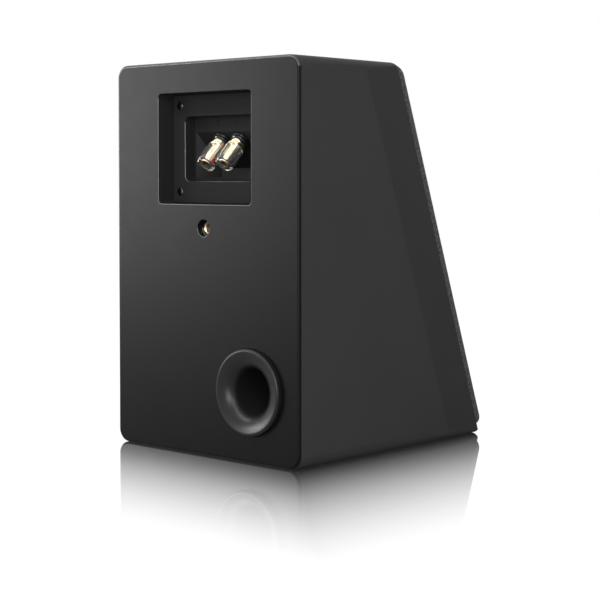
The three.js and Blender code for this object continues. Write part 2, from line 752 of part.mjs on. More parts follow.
// ---------------------------------------------------------------- threaded insert and port

function addInsert() {
  const top = -INSERT_DEPTH;
  const bottom = top - INSERT_LENGTH;
  const profile = [
    [INSERT_BORE, bottom],
    [INSERT_RADIUS, bottom],
    [INSERT_RADIUS, top],
    [INSERT_BORE, top],
  ];
  add(speaker, "bracket_insert", turnedOnY(profile).translate(0, 0, INSERT_Z), "brass");
}

function socketRadius() {
  return PORT_THROAT + PORT_WALL + GAP;
}

function addPort() {
  const place = [-PORT_OFFSET, 0, PORT_RISE];
  const crest = PORT_LIP_RADIUS - PORT_LIP_ROUND;
  const flareStart = PORT_LIP_PROUD - PORT_FLARE_DEPTH;
  const flareRadii = [crest - PORT_THROAT, PORT_FLARE_DEPTH];
  const round = [PORT_LIP_ROUND, PORT_LIP_ROUND];
  const seat = -PORT_LIP_SUNK + GAP;
  const outside = socketRadius() + PORT_WALL;
  const rearFlare = turnedOnY(
    [
      ...arc([crest, PORT_LIP_PROUD - PORT_LIP_ROUND], round, 0, Math.PI / 2, 3),
      ...arc([crest, flareStart], flareRadii, Math.PI / 2, Math.PI, 5).slice(1),
      [PORT_THROAT, -PORT_SOCKET_START],
      [socketRadius(), -PORT_SOCKET_START],
      [socketRadius(), -PORT_SOCKET_END],
      [outside, -PORT_SOCKET_END],
      [outside, seat],
      [PORT_LIP_RADIUS, seat],
    ],
    FINE,
  );
  add(speaker, "port_rear_flare", rearFlare.translate(...place), "blackPlastic");

  const tubeRadius = PORT_THROAT + PORT_WALL;
  const flareWidth = INNER_FLARE_RADIUS - PORT_THROAT;
  const innerEnd = -PORT_LENGTH;
  const bend = [INNER_FLARE_RADIUS, innerEnd + INNER_FLARE_DEPTH];
  const inner = arc(bend, [flareWidth, INNER_FLARE_DEPTH], Math.PI, 1.5 * Math.PI, 4);
  const outer = arc(
    bend,
    [flareWidth - PORT_WALL, INNER_FLARE_DEPTH - PORT_WALL],
    1.5 * Math.PI,
    Math.PI,
    4,
  );
  const tube = turnedOnY(
    [
      [PORT_THROAT, -PORT_SOCKET_START - GAP],
      ...inner,
      ...outer,
      [tubeRadius, -PORT_SOCKET_START - GAP],
    ],
    FINE,
  );
  add(speaker, "port_tube", tube.translate(...place), "blackPlastic");
}

// ---------------------------------------------------------------- woofer

function basketForm() {
  const flangeLow = -WOOFER_SEAT + GAP;
  const flangeHigh = flangeLow + WOOFER_FLANGE;
  const neck = WOOFER_CUTOUT - 2;
  const neckLow = flangeLow - 4;
  const foot = BASKET_FOOT_RADIUS;
  const ledge = -BASKET_DEPTH + BASKET_LEDGE;
  const ledgeRadius = foot + BASKET_FLARE;
  const ledgeInside = ledgeRadius - BASKET_LEDGE_WIDTH;
  const bottomInside = -BASKET_DEPTH + BASKET_FLOOR;
  const opening = COIL_RADIUS + 5;
  const profile = [
    [opening, -BASKET_DEPTH],
    [foot, -BASKET_DEPTH],
    [ledgeRadius, ledge],
    [neck, neckLow],
    [neck, flangeLow],
    [WOOFER_RADIUS, flangeLow],
    [WOOFER_RADIUS, flangeHigh],
    [neck - BASKET_WALL, flangeHigh],
    [neck - BASKET_WALL, neckLow],
    [ledgeRadius - BASKET_WALL, ledge],
    [ledgeInside, ledge],
    [ledgeInside - BASKET_WALL, bottomInside],
    [opening, bottomInside],
  ];
  const spokeHalfAngle = 0.2;
  const halfAngle = Math.PI / BASKET_WINDOWS - spokeHalfAngle;
  const windows = Array.from({ length: BASKET_WINDOWS }, (_, i) => {
    const middle = ((i + 0.5) * 2 * Math.PI) / BASKET_WINDOWS;
    const inner = ledgeRadius - BASKET_WALL + 0.5;
    const sector = new THREE.Shape();
    sector.absarc(0, 0, WOOFER_RADIUS, middle - halfAngle, middle + halfAngle);
    sector.absarc(0, 0, inner, middle + halfAngle, middle - halfAngle, true);
    return slab(sector, ledge + BASKET_WINDOW_MARGIN, neckLow - 2, 5);
  });
  const tab = new THREE.BoxGeometry(...BASKET_TAB).translate(ledgeRadius, 0, tabDepth());
  return cut(join(turned(profile, FINE), tab), ...windows);
}

// The height of the tag strip's middle, from the baffle's face.
function tabDepth() {
  return -BASKET_DEPTH + BASKET_LEDGE - BASKET_TAB[2] / 2;
}

function surroundForm() {
  const outerLow = -WOOFER_SEAT + WOOFER_FLANGE + 2 * GAP;
  const outerHigh = outerLow + SURROUND_THICKNESS;
  const innerLow = -CONE_EDGE_SUNK + GAP;
  const inside = CONE_RADIUS + 1;
  const edge = CONE_RADIUS - SURROUND_LAND;
  const middle = (inside + WOOFER_CUTOUT) / 2;
  const radius = (WOOFER_CUTOUT - inside) / 2;
  const underRadius = radius - SURROUND_THICKNESS;
  const over = arc([middle, outerHigh], [radius, radius], 0, Math.PI, 5);
  const under = arc([middle, outerLow], [underRadius, underRadius], Math.PI, 0, 5);
  return turned(
    [
      [WOOFER_RADIUS - SURROUND_GLUE, outerLow],
      [WOOFER_RADIUS - SURROUND_GLUE, outerHigh],
      ...over,
      [edge, innerLow + SURROUND_THICKNESS],
      [edge, innerLow],
      [inside + SURROUND_THICKNESS, innerLow],
      ...under,
    ],
    FINE,
  );
}

function spiderForm() {
  const level = -BASKET_DEPTH + BASKET_LEDGE + GAP;
  const inner = COIL_RADIUS + GAP;
  const flat = BASKET_FOOT_RADIUS + BASKET_FLARE - BASKET_LEDGE_WIDTH;
  const outer = BASKET_FOOT_RADIUS + BASKET_FLARE - BASKET_WALL - 2 * GAP;
  const steps = 3 * SPIDER_WAVES;
  const wave = (height) =>
    Array.from({ length: steps + 1 }, (_, i) => {
      const share = i / steps;
      const lift = (SPIDER_WAVE_HEIGHT / 2) * (1 - Math.cos(2 * Math.PI * SPIDER_WAVES * share));
      return [inner + (flat - inner) * share, level + height + lift];
    });
  const thick = SPIDER_THICKNESS;
  return turned([...wave(0), [outer, level], [outer, level + thick], ...wave(thick).reverse()]);
}

function addWoofer() {
  const coilInside = COIL_RADIUS - COIL_THICKNESS;
  const windingRadius = COIL_RADIUS + WINDING_THICKNESS;
  const gapRadius = windingRadius + COIL_AIR_GAP;
  const poleRadius = coilInside * Math.cos(Math.PI / MEDIUM) - POLE_CLEARANCE;
  const neck = COIL_RADIUS + GAP;
  const coneEdge = -CONE_EDGE_SUNK;
  const coneNeck = coneEdge - CONE_DEPTH;
  const coilTop = coneNeck + 2;
  const plateTop = -BASKET_DEPTH - GAP;
  const plateBottom = plateTop - TOP_PLATE_THICKNESS;
  const magnetTop = plateBottom - GAP;
  const magnetBottom = magnetTop - WOOFER_MAGNET_THICKNESS;
  const yokeTop = magnetBottom - GAP;
  const yokeBottom = yokeTop - YOKE_THICKNESS;
  const windingTop = plateTop + WINDING_OVERHANG;
  const windingBottom = plateBottom - WINDING_OVERHANG;

  add(wooferFrame, "woofer_basket", basketForm(), "darkSteel");
  add(wooferFrame, "woofer_surround", surroundForm(), "rubber");
  add(wooferFrame, "woofer_spider", spiderForm(), "spider");
  add(wooferFrame, "woofer_trim_ring", trimForm(), "rubber");

  const middleRadius = (neck + CONE_RADIUS) / 2;
  const middle = (coneNeck + coneEdge) / 2 - CONE_BOW;
  const cone = turned(
    [
      [neck, coneNeck - CONE_THICKNESS],
      [middleRadius, middle - CONE_THICKNESS],
      [CONE_RADIUS, coneEdge - CONE_THICKNESS],
      [CONE_RADIUS, coneEdge],
      [middleRadius, middle],
      [neck, coneNeck],
    ],
    FINE,
  );
  add(wooferFrame, "woofer_cone", cone, "cone");

  const capRadius = neck + DUST_CAP_OVERLAP;
  const coneSlope = CONE_DEPTH / (CONE_RADIUS - neck);
  const capFoot = coneNeck + (capRadius - neck) * coneSlope + GAP;
  const capTop = capFoot + DUST_CAP_HEIGHT;
  const thick = CONE_THICKNESS;
  const inside = [capRadius - thick, DUST_CAP_HEIGHT - thick];
  const dome = arc([0, capFoot], [capRadius, DUST_CAP_HEIGHT], 0, Math.PI / 2, 6);
  const hollow = arc([0, capFoot], inside, Math.PI / 2, 0, 6);
  const cap = turned([...dome.slice(0, -1), [0, capTop], [0, capTop - thick], ...hollow.slice(1)]);
  add(wooferFrame, "woofer_dust_cap", cap, "cone");

  const coil = turned([
    [coilInside, windingBottom],
    [windingRadius, windingBottom],
    [windingRadius, windingTop],
    [COIL_RADIUS, windingTop],
    [COIL_RADIUS, coilTop],
    [coilInside, coilTop],
  ]);
  add(wooferFrame, "woofer_voice_coil", coil, "copper");

  const topPlate = ring(gapRadius, WOOFER_PLATE_RADIUS, plateBottom, plateTop, FINE);
  add(wooferFrame, "woofer_top_plate", topPlate, "zincSteel");

  const magnet = ring(WOOFER_MAGNET_BORE, WOOFER_MAGNET_RADIUS, magnetBottom, magnetTop, FINE);
  add(wooferFrame, "woofer_magnet", magnet, "ferrite");

  const yoke = turned(
    [
      [POLE_VENT_RADIUS, yokeBottom],
      [WOOFER_PLATE_RADIUS, yokeBottom],
      [WOOFER_PLATE_RADIUS, yokeTop],
      [poleRadius, yokeTop],
      [poleRadius, plateTop],
      [POLE_VENT_RADIUS, plateTop],
    ],
    FINE,
  );
  add(wooferFrame, "woofer_yoke", yoke, "zincSteel");
}

function trimForm() {
  const low = -WOOFER_SEAT + WOOFER_FLANGE + SURROUND_THICKNESS + 3 * GAP;
  const inner = WOOFER_CUTOUT + 1;
  const shoulder = -TRIM_CHAMFER;
  const face = TRIM_PROUD;
  return turned(
    [
      [inner, low],
      [WOOFER_RADIUS, low],
      [WOOFER_RADIUS, shoulder],
      [WOOFER_RADIUS - TRIM_CHAMFER, face],
      [inner + TRIM_CHAMFER, face],
      [inner, shoulder],
    ],
    FINE,
  );
}

// ---------------------------------------------------------------- tweeter

function addTweeter() {
  const magnetTop = -TWEETER_DEPTH;
  const magnetBottom = magnetTop - TWEETER_MAGNET_THICKNESS;
  const backTop = magnetBottom - GAP;
  const backBottom = backTop - TWEETER_BACK_THICKNESS;
  const mouth = TWEETER_RADIUS - HORN_RIM;
  const hornWidth = mouth - HORN_THROAT;
  const curveDepth = HORN_DEPTH - 2.5;
  const body = TWEETER_CUTOUT - 1;
  const clampRadius = HORN_THROAT + 4;
  const bevel = 0.5;
  const faceplate = turned(
    [
      [body, magnetTop + GAP],
      [body, -TWEETER_FLANGE],
      [TWEETER_RADIUS, -TWEETER_FLANGE],
      [TWEETER_RADIUS, -bevel],
      [TWEETER_RADIUS - bevel, 0],
      ...arc([mouth, -curveDepth], [hornWidth, curveDepth], Math.PI / 2, Math.PI, 5),
      [HORN_THROAT, -HORN_DEPTH],
      [clampRadius, -HORN_DEPTH],
      [clampRadius, magnetTop + GAP],
    ],
    FINE,
  );
  add(tweeterFrame, "tweeter_faceplate", faceplate, "blackPlastic");

  const edge = -HORN_DEPTH - bevel;
  const foot = edge - DOME_THICKNESS;
  const lip = HORN_THROAT + 2.5;
  const rollRadius = (DOME_RADIUS + HORN_THROAT - bevel) / 2;
  const inside = [DOME_RADIUS - DOME_THICKNESS, DOME_HEIGHT];
  const over = arc([0, edge], [DOME_RADIUS, DOME_HEIGHT], 0, Math.PI / 2, 6).slice(0, -1);
  const under = arc([0, foot], inside, Math.PI / 2, 0, 6).slice(1);
  const dome = turned([
    [lip, foot],
    [lip, edge],
    [HORN_THROAT - bevel, edge],
    [rollRadius, edge + DOME_ROLL],
    ...over,
    [0, edge + DOME_HEIGHT],
    [0, foot + DOME_HEIGHT],
    ...under,
  ]);
  add(tweeterFrame, "tweeter_dome", dome, "silk");

  const coilRadius = DOME_RADIUS - 0.1;
  const coilInside = coilRadius - TWEETER_COIL_THICKNESS;
  const coil = ring(coilInside, coilRadius, magnetTop - TWEETER_COIL_LENGTH, foot - GAP);
  add(tweeterFrame, "tweeter_voice_coil", coil, "copper");

  const bore = coilRadius + COIL_AIR_GAP;
  const magnet = ring(bore, TWEETER_MAGNET_RADIUS, magnetBottom, magnetTop, FINE);
  add(tweeterFrame, "tweeter_magnet", magnet, "ferrite");

  const poleRadius = coilInside - COIL_AIR_GAP;
  const poleTop = magnetTop - GAP;
  const back = turned(
    [
      [0, backBottom],
      [TWEETER_BACK_RADIUS, backBottom],
      [TWEETER_BACK_RADIUS, backTop],
      [poleRadius, backTop],
      [poleRadius, poleTop],
      [0, poleTop],
    ],
    FINE,
  );
  add(tweeterFrame, "tweeter_back_plate", back, "zincSteel");
}

// ---------------------------------------------------------------- grille

// The grille's outline, smaller by an inset on every side.
function grilleOutline(inset) {
  const across = 2 * (FRONT_HALF - GRILLE_INSET - inset);
  const along = SLOPE_LENGTH - 2 * (GRILLE_END_INSET + inset);
  return roundedRect(across, along, GRILLE_CORNER - inset, 0, SLOPE_LENGTH / 2);
}

function addGrille() {
  const low = GRILLE_STANDOFF;
  const high = low + GRILLE_THICKNESS;
  const frameInset = CLOTH_THICKNESS + GAP;
  const frameLow = low + GAP;
  const frameHigh = high - CLOTH_THICKNESS - GAP;
  const across = 2 * (FRONT_HALF - GRILLE_INSET - frameInset - GRILLE_BAR);
  const bottom = GRILLE_END_INSET + frameInset + GRILLE_BAR;
  const top = SLOPE_LENGTH - bottom;
  const between = (WOOFER_RISE + WOOFER_RADIUS + TWEETER_RISE - TWEETER_RADIUS) / 2;
  const barLow = between - GRILLE_CROSSBAR / 2;
  const barHigh = between + GRILLE_CROSSBAR / 2;
  const windows = [[bottom, barLow], [barHigh, top]].map(([from, to]) => {
    const outline = roundedRect(across, to - from, GRILLE_CORNER, 0, (from + to) / 2);
    return slab(outline, frameLow - 1, frameHigh + 1, 4);
  });
  const board = cut(slab(grilleOutline(frameInset), frameLow, frameHigh, 5), ...windows);
  const pegs = pegPlaces().map(([x, y]) =>
    disc(PEG_RADIUS, -PEG_LENGTH + GAP, frameLow + 1, SMALL).translate(x, y, 0),
  );
  add(baffleFrame, "grille_frame", join(board, ...pegs), "blackPlastic");

  const hollow = slab(grilleOutline(CLOTH_THICKNESS), low - 1, high - CLOTH_THICKNESS, 5);
  add(baffleFrame, "grille_cloth", cut(slab(grilleOutline(0), low, high, 5), hollow), "cloth");
}

// ---------------------------------------------------------------- crossover and leads

function addCrossover() {
  const [width, depth] = BOARD_SIZE;
  const centreY = -REAR_THICKNESS - BOARD_FROM_BACK - depth / 2;
  const low = WALL + BOARD_STANDOFF;
  const high = low + BOARD_THICKNESS;
  const frame = frameAt(speaker, BOARD_CENTRE_X, centreY, 0);
  const legX = width / 2 - BOARD_LEG_INSET;
  const legY = depth / 2 - BOARD_LEG_INSET;
  const legs = [[legX, legY], [-legX, legY], [legX, -legY], [-legX, -legY]].map(([x, y]) =>
    disc(BOARD_LEG_RADIUS, WALL + GAP, low + 1, SMALL).translate(x, y, 0),
  );
  const board = slab(roundedRect(width, depth, 3), low, high, 3);
  add(frame, "crossover_board", join(board, ...legs), "circuit");

  const seat = high + GAP;
  const coil = ({ radius, bore, height, place: [x, y] }) =>
    ring(bore, radius, seat, seat + height).translate(x, y, 0);
  add(frame, "crossover_inductor_bass", coil(BASS_INDUCTOR), "copper");
  add(frame, "crossover_inductor_treble", coil(TREBLE_INDUCTOR), "copper");

  const { radius: canRadius, length: canLength, place: canPlace } = CAPACITOR;
  const can = disc(canRadius, -canLength / 2, canLength / 2).rotateY(Math.PI / 2);
  can.translate(...canPlace, seat + canRadius);
  add(frame, "crossover_capacitor", can, "film");

  const { size: blockSize, place: blockPlace } = RESISTOR;
  const block = new THREE.BoxGeometry(...blockSize);
  block.translate(...blockPlace, seat + blockSize[2] / 2);
  add(frame, "crossover_resistor", block, "ceramic");
  return { x: BOARD_CENTRE_X, y: centreY, z: high };
}

// The leads run through the brace's windows. Their ends lie on the solder joints of the
// board, the posts and the drivers, and the points between are a free route.
function addLeads(board) {
  const edge = BOARD_SIZE[0] / 2 - LEAD_INSET;
  const solder = board.z + GAP;
  const [postX, postY, postZ] = postPlace(1);
  const inside = (STUD_INSIDE + GAP) * Math.SQRT1_2;
  const input = [
    [postX, postY - inside, postZ + inside],
    [postX - 1, postY - inside - 4, postZ + inside + 3.4],
    [-6, -66, 225.8],
    [-20, -72, 190.8],
    [-22, -72, 156],
    [-18, -72, 115],
    [-9, -70, 75],
    [board.x - edge, board.y - 14, 42],
    [board.x - edge, board.y - 14, solder],
  ];
  add(speaker, "lead_input", tubeAlong(input, LEAD_RADIUS, 30), "lead");

  const tabEnd = BASKET_FOOT_RADIUS + BASKET_FLARE + BASKET_TAB[0] / 2 + GAP;
  const woofer = [
    [board.x + edge, board.y - 26, solder],
    [board.x + edge, board.y - 26, solder + 12],
    [68, -108, 62],
    onBaffle(tabEnd + 8, WOOFER_RISE, tabDepth()),
    onBaffle(tabEnd, WOOFER_RISE, tabDepth()),
  ];
  add(speaker, "lead_woofer", tubeAlong(woofer, LEAD_RADIUS, 20), "lead");

  const backDepth = TWEETER_DEPTH + TWEETER_MAGNET_THICKNESS + TWEETER_BACK_THICKNESS + 2 * GAP;
  const tweeter = [
    [board.x + 8, board.y + 24, solder],
    [board.x + 8, board.y + 24, solder + 16],
    [44, -60, 90],
    [48, -72, 156],
    [36, -84, 184],
    onBaffle(20, TWEETER_RISE - 6, -backDepth - 14),
    onBaffle(20, TWEETER_RISE - 6, -backDepth),
  ];
  add(speaker, "lead_tweeter", tubeAlong(tweeter, LEAD_RADIUS, 30), "lead");
}

// ---------------------------------------------------------------- assembly

addCabinet();
addBaffle();
addTerminalPlate();
addPost(1, "plus");
addPost(-1, "minus");
addInsert();
addPort();
addWoofer();
addTweeter();
addGrille();
addLeads(addCrossover());

// The cabinet frame's y = 0 is the back: the speaker is moved so that its overall box is
// centred over the origin.
speaker.updateMatrixWorld(true);
const middle = new THREE.Box3().setFromObject(speaker, true).getCenter(new THREE.Vector3());
speaker.position.y = -middle.y;

export default speaker;
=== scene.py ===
"""Bookshelf speaker: the finished surfaces of a sloped two-way speaker seen from behind.

The cabinet, terminal plate, binding posts, port, drivers and grille are modelled at the sizes
and places of the working model, and every piece and every carried-over node gets a material.
"""

import json
import logging
import math
from collections.abc import Callable, Sequence
from dataclasses import dataclass, field, replace
from enum import Enum

import bpy
from mathutils import Matrix, Vector
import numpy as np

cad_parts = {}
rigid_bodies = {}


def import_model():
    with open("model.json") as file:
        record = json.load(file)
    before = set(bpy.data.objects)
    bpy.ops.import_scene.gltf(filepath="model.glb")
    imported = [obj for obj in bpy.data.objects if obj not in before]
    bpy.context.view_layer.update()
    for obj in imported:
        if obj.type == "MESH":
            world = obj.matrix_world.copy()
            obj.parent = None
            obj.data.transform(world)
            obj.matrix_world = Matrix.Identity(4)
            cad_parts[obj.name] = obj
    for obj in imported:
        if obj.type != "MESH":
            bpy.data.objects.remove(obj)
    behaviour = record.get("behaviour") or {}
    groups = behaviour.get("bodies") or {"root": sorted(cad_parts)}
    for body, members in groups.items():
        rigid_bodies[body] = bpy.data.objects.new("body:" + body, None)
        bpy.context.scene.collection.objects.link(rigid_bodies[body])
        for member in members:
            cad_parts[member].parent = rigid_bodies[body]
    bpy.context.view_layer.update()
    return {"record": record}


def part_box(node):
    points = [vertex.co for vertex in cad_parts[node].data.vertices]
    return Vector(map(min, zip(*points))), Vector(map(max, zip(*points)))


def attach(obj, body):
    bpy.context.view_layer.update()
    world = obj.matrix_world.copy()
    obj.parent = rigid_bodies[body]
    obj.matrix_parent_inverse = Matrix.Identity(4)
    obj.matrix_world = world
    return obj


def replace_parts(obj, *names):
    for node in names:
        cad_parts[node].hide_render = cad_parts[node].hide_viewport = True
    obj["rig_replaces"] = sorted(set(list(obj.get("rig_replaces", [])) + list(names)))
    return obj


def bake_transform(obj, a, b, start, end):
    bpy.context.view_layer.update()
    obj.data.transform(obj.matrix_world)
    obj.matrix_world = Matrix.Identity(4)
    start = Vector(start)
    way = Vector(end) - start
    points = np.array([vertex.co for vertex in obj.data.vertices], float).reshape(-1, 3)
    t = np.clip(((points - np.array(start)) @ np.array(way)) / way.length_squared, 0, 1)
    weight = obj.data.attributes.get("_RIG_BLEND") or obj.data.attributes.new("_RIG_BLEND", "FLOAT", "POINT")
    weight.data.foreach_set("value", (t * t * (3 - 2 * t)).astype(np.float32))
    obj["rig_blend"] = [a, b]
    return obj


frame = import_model()

LOG = logging.getLogger("speaker")
Point = tuple[float, float]
Corner = tuple[float, float, float]
Colour = tuple[float, float, float]
Piece = bpy.types.Object
Test = Callable[[list[Vector]], bool]  # of the corner points of an edge or a face

MM = 0.001
GAP = 0.3 * MM  # clearance between fitted pieces
ROUND = 96  # steps of a large turned piece
MERGE = 1e-6  # points nearer than this are one
SLIT = 1e-5  # slits narrower than this are closed
NEAR = 0.01 * MM  # what lies nearer than this to a plane lies on it
LOOKS_DOWN = -0.03  # a face whose normal is lower than this keeps the dull finish


# ---------------------------------------------------------------- outlines


def arc(centre: Point, radii: Point, start: float, end: float, steps: int) -> list[Point]:
    """Places points along an elliptical arc.

    Args:
        centre: The middle of the arc.
        radii: Its half width and half height.
        start: The first angle, in degrees.
        end: The last angle, in degrees.
        steps: How many straight steps it takes.

    Returns:
        The points, both ends included.
    """
    points = []
    for step in range(steps + 1):
        angle = math.radians(start + (end - start) * step / steps)
        points.append((centre[0] + radii[0] * math.cos(angle), centre[1] + radii[1] * math.sin(angle)))
    return points


def filleted(corners: Sequence[Corner], steps: int = 4) -> list[Point]:
    """Rounds the corners of a closed outline.

    Args:
        corners: Each corner as x, y and its fillet's radius, where 0 leaves it sharp.
        steps: How many straight steps each fillet takes.

    Returns:
        The outline's points in order.
    """
    points: list[Point] = []
    for index, (x, y, radius) in enumerate(corners):
        here = Vector((x, y))
        before = Vector(corners[index - 1][:2]) - here
        after = Vector(corners[(index + 1) % len(corners)][:2]) - here
        half = before.angle(after) / 2
        if radius <= 0 or half > math.radians(89):
            points.append((x, y))
            continue
        reach = min(radius / math.tan(half), 0.49 * before.length, 0.49 * after.length)
        fillet = reach * math.tan(half)
        middle = here + (before.normalized() + after.normalized()).normalized() * (fillet / math.sin(half))
        first = here + before.normalized() * reach - middle
        last = here + after.normalized() * reach - middle
        start = math.atan2(first.y, first.x)
        turn = (math.atan2(last.y, last.x) - start + math.pi) % (2 * math.pi) - math.pi
        for step in range(steps + 1):
            angle = start + turn * step / steps
            points.append((middle.x + fillet * math.cos(angle), middle.y + fillet * math.sin(angle)))
    return points


def rounded_rect(centre: Point, width: float, height: float, radius: float, steps: int = 8) -> list[Point]:
    """Gives a rectangle's outline with rounded corners."""
    x, y = width / 2, height / 2
    signs = ((1, 1), (-1, 1), (-1, -1), (1, -1))
    return filleted([(centre[0] + sx * x, centre[1] + sy * y, radius) for sx, sy in signs], steps)


def thread(first: float, second: float, low: float, high: float, pitch: float) -> list[Point]:
    """Zigzags between two radii, as a thread does in section.

    Args:
        first: The radius at the start of each turn.
        second: The radius half a turn on.
        low: The height of the first turn.
        high: The height that the last turn stays under.
        pitch: The height of one turn.

    Returns:
        Points of radius and height.
    """
    points = []
    while low + pitch < high:
        points += [(first, low), (second, low + pitch / 2)]
        low += pitch
    return points


def sharp(points: Sequence[Point]) -> list[Corner]:
    """Gives points as corners that stay sharp in a filleted outline."""
    return [(*point, 0) for point in points]


# ---------------------------------------------------------------- bench work


class Join(Enum):
    """How one solid is worked into another."""

    CUT = "DIFFERENCE"
    ADD = "UNION"


class Pick(Enum):
    """What a selection in edit mode is made of."""

    EDGES = "EDGE"
    FACES = "FACE"


def clear_selection() -> None:
    """Leaves edit mode and deselects everything."""
    if bpy.context.mode != "OBJECT":
        bpy.ops.object.mode_set(mode="OBJECT")
    bpy.ops.object.select_all(action="DESELECT")


def focus(piece: Piece) -> None:
    """Selects one piece alone and makes it active."""
    clear_selection()
    piece.select_set(True)
    bpy.context.view_layer.objects.active = piece


def named(name: str) -> Piece:
    """Names the piece that was just added, and its mesh."""
    piece = bpy.context.object
    piece.name = name
    piece.data.name = name
    return piece


def placed(piece: Piece, place: Matrix | None) -> Piece:
    """Moves a piece to its place, if it has one, and writes the place into its mesh."""
    focus(piece)
    piece.matrix_world = (place or Matrix.Identity(4)) @ piece.matrix_world
    bpy.ops.object.transform_apply(location=True, rotation=True, scale=True)
    return piece


def pick(piece: Piece, what: Pick, test: Test) -> int:
    """Opens a piece in edit mode with the parts that pass a test selected.

    Args:
        piece: The piece to open.
        what: Whether edges or faces are picked.
        test: Says, from its corner points, whether an edge or a face is picked.

    Returns:
        How many were picked.
    """
    focus(piece)
    bpy.ops.object.mode_set(mode="EDIT")
    bpy.ops.mesh.select_mode(type=what.value)
    bpy.ops.mesh.select_all(action="DESELECT")
    bpy.ops.object.mode_set(mode="OBJECT")
    mesh = piece.data
    count = 0
    for item in mesh.polygons if what is Pick.FACES else mesh.edges:
        item.select = test([mesh.vertices[corner].co for corner in item.vertices])
        count += item.select
    bpy.ops.object.mode_set(mode="EDIT")
    return count


def traced(name: str, points: Sequence[Point], upright: bool) -> Piece:
    """Draws a closed outline by extruding one vertex from point to point, and stays in edit mode.

    Args:
        name: The new piece's name.
        points: The outline.
        upright: True draws in XZ, for turning round Z, and False draws in XY.

    Returns:
        The piece, in edit mode.
    """
    clear_selection()
    bpy.ops.mesh.primitive_plane_add(size=MM)
    piece = named(name)
    bpy.ops.object.mode_set(mode="EDIT")
    bpy.ops.mesh.select_mode(type="VERT")
    bpy.ops.mesh.select_all(action="SELECT")
    bpy.ops.mesh.merge(type="CENTER")
    at = [Vector((a, 0, b)) if upright else Vector((a, b, 0)) for a, b in (*points, points[0])]
    bpy.ops.transform.translate(value=at[0])
    for before, after in zip(at, at[1:]):
        bpy.ops.mesh.extrude_region_move(TRANSFORM_OT_translate={"value": after - before})
    bpy.ops.mesh.select_all(action="SELECT")
    bpy.ops.mesh.remove_doubles(threshold=MERGE)
    return piece


def turn_outward() -> None:
    """Turns every face of the open mesh outward, and leaves edit mode."""
    bpy.ops.mesh.select_all(action="SELECT")
    bpy.ops.mesh.normals_make_consistent(inside=False)
    bpy.ops.object.mode_set(mode="OBJECT")


def turned(name: str, profile: Sequence[Point], place: Matrix | None, steps: int) -> Piece:
    """Turns a profile of radius and height round the Z axis, as on a lathe.

    Args:
        name: The new piece's name.
        profile: Points of radius and height.
        place: Where the turned piece goes, or None where it stays.
        steps: How many steps the turn takes.

    Returns:
        The finished piece.
    """
    piece = traced(name, profile, upright=True)
    bpy.ops.mesh.select_all(action="SELECT")
    bpy.ops.mesh.spin(steps=steps, angle=2 * math.pi, center=(0, 0, 0), axis=(0, 0, 1))
    bpy.ops.mesh.select_all(action="SELECT")
    bpy.ops.mesh.remove_doubles(threshold=MERGE)
    bpy.ops.mesh.delete_loose(use_verts=True, use_edges=True, use_faces=False)
    turn_outward()
    return placed(piece, place)


def prism(name: str, outline: Sequence[Point], low: float, high: float, place: Matrix) -> Piece:
    """Fills an outline in XY, extrudes it from one height to another and sets it in its place."""
    piece = traced(name, outline, upright=False)
    bpy.ops.mesh.select_all(action="SELECT")
    bpy.ops.mesh.edge_face_add()
    bpy.ops.mesh.select_all(action="SELECT")
    bpy.ops.mesh.extrude_region_move(TRANSFORM_OT_translate={"value": (0, 0, high - low)})
    bpy.ops.mesh.select_all(action="SELECT")
    bpy.ops.transform.translate(value=(0, 0, low))
    turn_outward()
    return placed(piece, place)


def block(name: str, low: Sequence[float], high: Sequence[float]) -> Piece:
    """Adds a box from its lowest to its highest corner."""
    clear_selection()
    low, high = Vector(low), Vector(high)
    bpy.ops.mesh.primitive_cube_add(size=1, location=(low + high) / 2, scale=high - low)
    return placed(named(name), None)


def disc(name: str, radius: float, low: float, high: float, place: Matrix, steps: int = ROUND) -> Piece:
    """Turns a solid disc, as a cutting tool."""
    return turned(name, [(0, low), (radius, low), (radius, high), (0, high)], place, steps)


def modified(piece: Piece, kind: str, **settings: object) -> Piece:
    """Applies one modifier to a piece."""
    focus(piece)
    step = piece.modifiers.new("step", kind)
    for key, value in settings.items():
        setattr(step, key, value)
    bpy.ops.object.modifier_apply(modifier=step.name)
    return piece


def worked(piece: Piece, how: Join, *tools: Piece) -> Piece:
    """Cuts or adds the shape of each tool in turn, and removes the tools."""
    for tool in tools:
        modified(piece, "BOOLEAN", operation=how.value, object=tool, solver="EXACT")
        bpy.data.objects.remove(tool)
    return piece


def sliced(piece: Piece, at: Vector, normal: Vector) -> Piece:
    """Takes off what lies beyond a plane, and closes the cut."""
    pick(piece, Pick.FACES, lambda _: True)
    bpy.ops.mesh.bisect(plane_co=at, plane_no=normal, use_fill=True, clear_outer=True)
    bpy.ops.object.mode_set(mode="OBJECT")
    return piece


def lies_on(at: Vector, normal: Vector) -> Test:
    """Gives the test of whether an edge or a face lies on a plane."""
    return lambda points: all(abs((point - at).dot(normal)) < NEAR for point in points)


def runs_back(points: list[Vector]) -> bool:
    """Says whether an edge of a block runs from its front to its back."""
    return abs(points[0].y - points[1].y) > MM


def edge_rounded(piece: Piece, test: Test, width: float, steps: int, polished: bool = False) -> Piece:
    """Rounds the edges that pass a test, and marks the round as polished where that is asked."""
    if pick(piece, Pick.EDGES, test):
        bpy.ops.mesh.bevel(offset=width, segments=steps, profile=0.5, affect="EDGES", material=int(polished))
    bpy.ops.object.mode_set(mode="OBJECT")
    return piece


